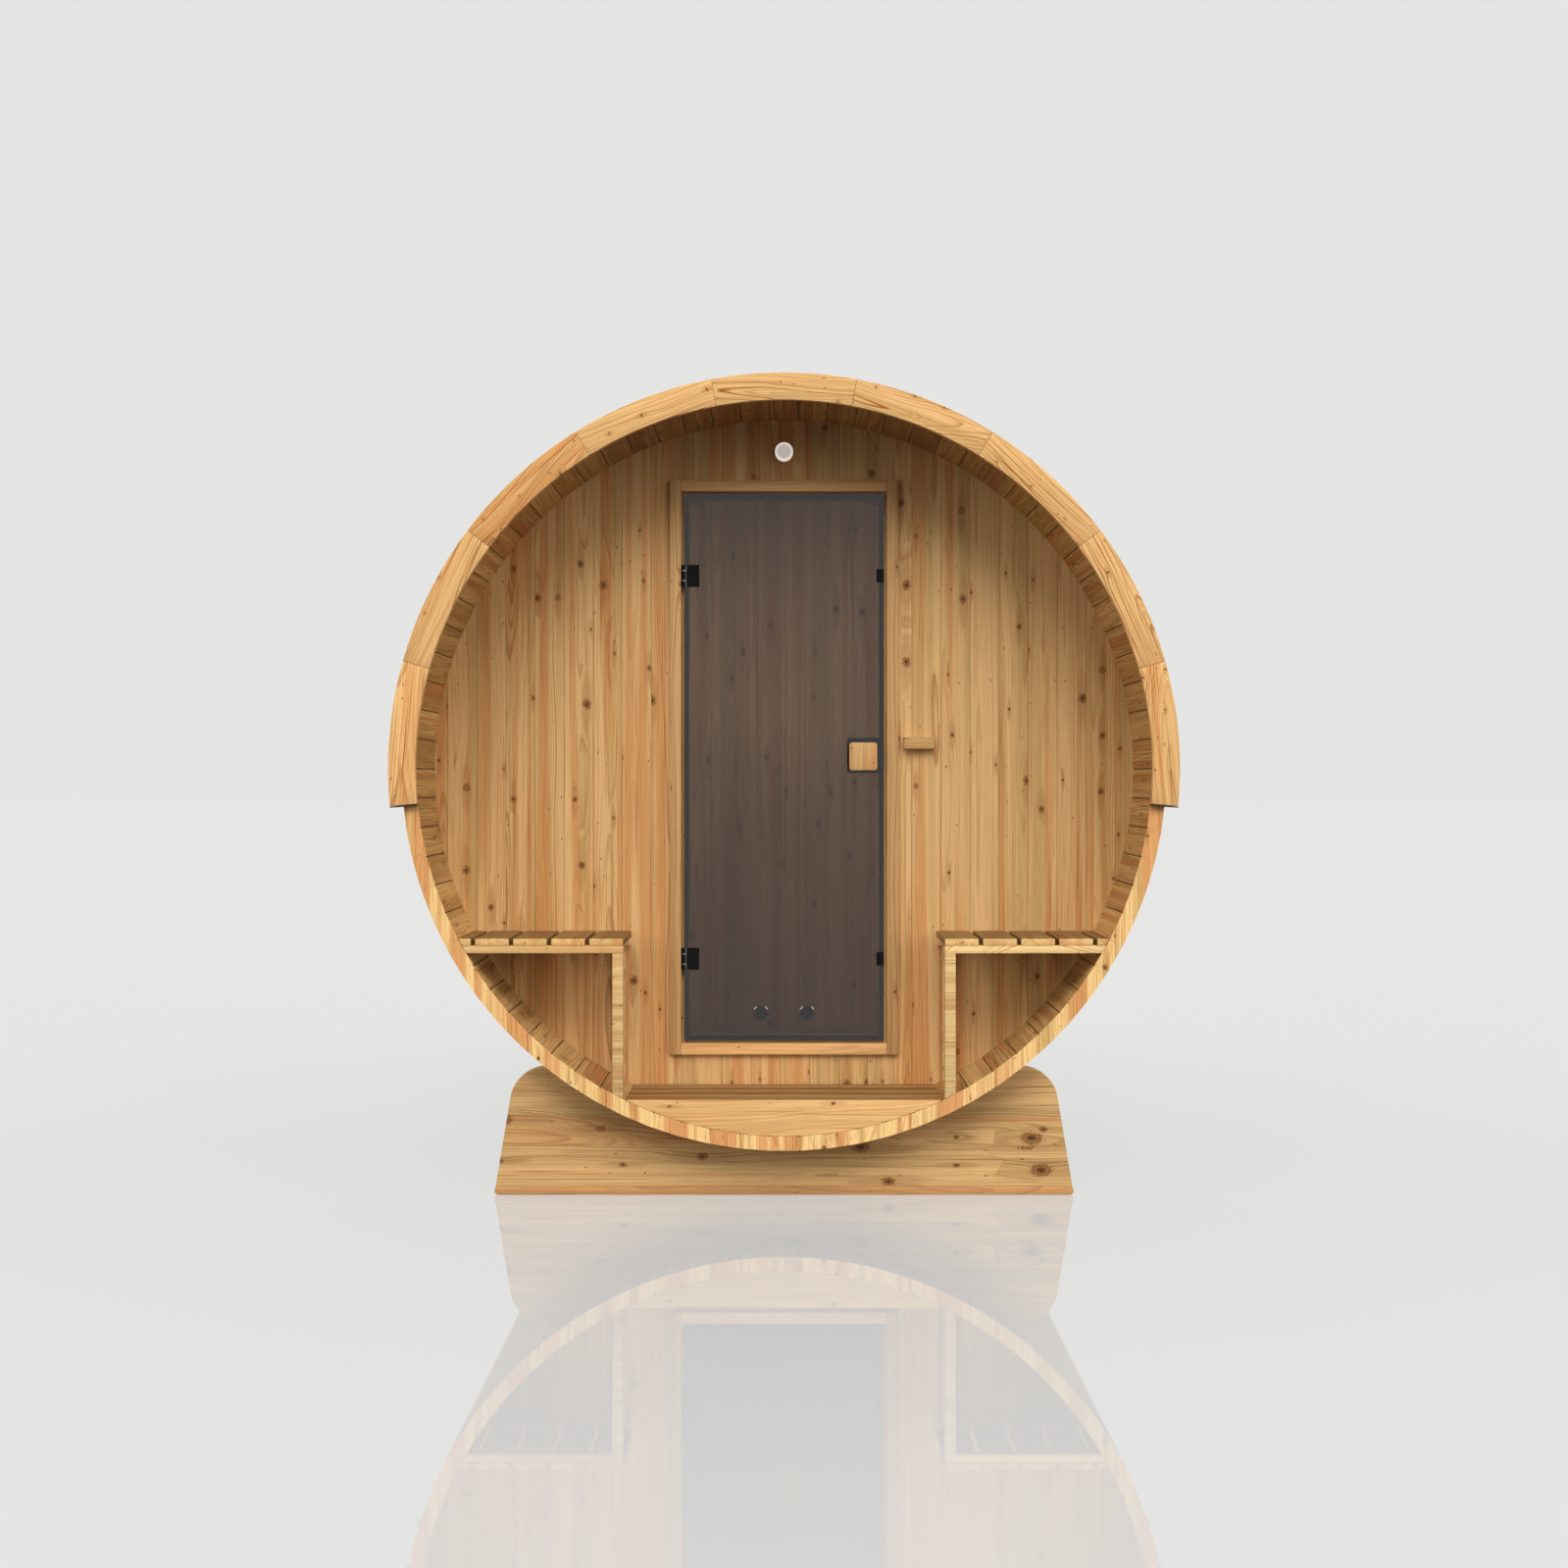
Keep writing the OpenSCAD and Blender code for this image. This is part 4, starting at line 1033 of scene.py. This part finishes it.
def makeVentGrilles():
    values = ventGrille
    places = []
    clips = []
    tilt = math.radians(values["tilt"])
    for x in (-values["x"], values["x"]):
        for y in (values["inside"], values["outside"]):
            for number in range(values["bars"]):
                off = (number - (values["bars"] - 1) / 2) * values["gap"]
                length = 2 * math.sqrt(values["radius"] ** 2 - off ** 2)
                places.append(((x, y, values["z"] + off), (tilt, 0, 0), (length, 1, 1)))
        for angle in (math.radians(-values["clipAngle"]), math.radians(values["clipAngle"])):
            sideways = values["clipRadius"] * math.sin(angle)
            upward = values["clipRadius"] * math.cos(angle)
            clips.append(((x + sideways, values["clipY"], values["z"] + upward), (0, angle, 0), plain))
    bars = copyOnto(addBlock(values["bar"], values["edge"]), places, "ventGrilles")
    settle(bars, "cabin", "vent_metal", "ventMetal")
    # painted glints: the clips glow where they are seen and light nothing
    clip = addBlock(values["clip"], values["edge"])
    settle(copyOnto(clip, clips, "ventGlintClips"), "cabin", "vent_metal", "paintedGlintClip")


makePorchLight()
makeHingeTrim()
for values in handleShadowPlates:
    makeHandleShadowPlate(values)
makeRoofScrews()
makeHoopNuts()
makeVentGrilles()
print("small fittings made")


# the floor's bounce and mirror are given near the object and far from it, between two distances
stageValues = {
    "floorSize": 240.0,
    "background": tone(229, 229, 227),
    "floorColor": (0.10, 0.10, 0.099, 1.0),
    "floorGlow": (0.694, 0.694, 0.680, 1.0),
    "bounce": (1.0, 1.9, 0.25, 0.055),
    "mirror": (0.9, 4.0, 0.37, 0.20),
    "mirrorBlur": 0.02,
    "worldLight": (0.025, 0.025, 0.027, 1.0),
}
lamps = [
    {"name": "keyLamp", "azimuth": 0, "elevation": 46, "angle": 36, "strength": 1.84},
    {"name": "leftFrontLamp", "azimuth": -50, "elevation": 22.5, "angle": 54, "strength": 1.20},
    {"name": "rightFrontLamp", "azimuth": 50, "elevation": 22.5, "angle": 54, "strength": 1.61},
    {"name": "leftLamp", "azimuth": -118, "elevation": 32, "angle": 40, "strength": 1.0},
    {"name": "rightLamp", "azimuth": 118, "elevation": 32, "angle": 40, "strength": 1.0},
    {"name": "rearLamp", "azimuth": 180, "elevation": 38, "angle": 50, "strength": 1.3},
]
sunPlace = (0, -6, 5)
cabinLight = {"width": 1.0, "depth": 0.5, "power": 22.0, "place": (0.0, -0.10, 1.80), "tilt": 29.0,
              "glowPower": 0.28, "glowPlace": (-0.009, 0.70, 1.351), "glowRadius": 0.04,
              "glowColor": (1.0, 0.86, 0.66)}
cameraValues = {"lens": 50, "sensor": 36, "far": 300, "place": (0, -6.807, 1.1285)}


def makeFloor():
    bpy.ops.mesh.primitive_plane_add(size=stageValues["floorSize"], location=(0, 0, 0))
    floor = bpy.context.active_object
    floor.name = "studioFloor"
    material = bpy.data.materials.new("studioFloor")
    material.use_nodes = True
    material.cycles.emission_sampling = "NONE"
    tree = material.node_tree
    tree.nodes.remove(tree.nodes["Principled BSDF"])
    x, y, z = placesOf(tree)
    away = (x * x + y * y).calc("SQRT")
    seen = seenDirectly(tree)
    bounce = away.spread(*stageValues["bounce"])
    colour = blendColour(tree, seen, joinVector(tree, bounce, bounce, bounce), stageValues["floorColor"])
    matt = fill(tree, tree.nodes.new("ShaderNodeBsdfDiffuse"), {"Color": colour})
    shine = {"Color": stageValues["floorGlow"], "Strength": seen}
    glow = fill(tree, tree.nodes.new("ShaderNodeEmission"), shine)
    both = fill(tree, tree.nodes.new("ShaderNodeAddShader"), {0: matt, 1: glow})
    mirror = fill(tree, tree.nodes.new("ShaderNodeBsdfGlossy"), {"Roughness": stageValues["mirrorBlur"]})
    amount = away.spread(*stageValues["mirror"]) * seen
    mix = fill(tree, tree.nodes.new("ShaderNodeMixShader"), {0: amount, 1: both, 2: mirror})
    feed(tree, tree.nodes["Material Output"].inputs["Surface"], mix)
    floor.data.materials.append(material)


def makeWorld():
    world = bpy.data.worlds.new("studio")
    bpy.context.scene.world = world
    world.use_nodes = True
    tree = world.node_tree
    colour = blendColour(tree, seenDirectly(tree), stageValues["worldLight"], stageValues["background"])
    feedAll(tree, tree.nodes["Background"], {"Color": colour, "Strength": 1.0})


def addLamp(name, kind, power, place, tilt=0, azimuth=0):
    lamp = bpy.data.lights.new(name, kind)
    lamp.energy = power
    holder = addObject(name, lamp)
    holder.location = place
    holder.rotation_euler = (math.radians(tilt), 0, math.radians(azimuth))
    holder.visible_glossy = False
    return lamp, holder


def makeLamps():
    for values in lamps:
        tilt = 90 - values["elevation"]
        lamp, holder = addLamp(values["name"], "SUN", values["strength"], sunPlace, tilt, values["azimuth"])
        lamp.angle = math.radians(values["angle"])


def makeCabinLight():
    # a soft lamp under the cabin's ceiling and a small one by the back wall, seen only by their light
    values = cabinLight
    panel, panelHolder = addLamp("cabinLamp", "AREA", values["power"], values["place"], values["tilt"])
    panel.shape = "RECTANGLE"
    panel.size = values["width"]
    panel.size_y = values["depth"]
    spot, spotHolder = addLamp("cabinGlow", "POINT", values["glowPower"], values["glowPlace"])
    spot.shadow_soft_size = values["glowRadius"]
    spot.color = values["glowColor"]
    for holder in (panelHolder, spotHolder):
        holder.visible_camera = False
        holder.visible_transmission = False


def makeCamera():
    camera = bpy.data.cameras.new("camera")
    camera.lens = cameraValues["lens"]
    camera.sensor_width = cameraValues["sensor"]
    camera.clip_end = cameraValues["far"]
    holder = addObject("camera", camera)
    holder.location = cameraValues["place"]
    holder.rotation_euler = (math.radians(90), 0, 0)
    bpy.context.scene.camera = holder


makeFloor()
makeWorld()
makeLamps()
makeCabinLight()
makeCamera()
bpy.context.scene.view_settings.view_transform = "Standard"
print("floor, light and camera ready")

bpy.context.view_layer.update()
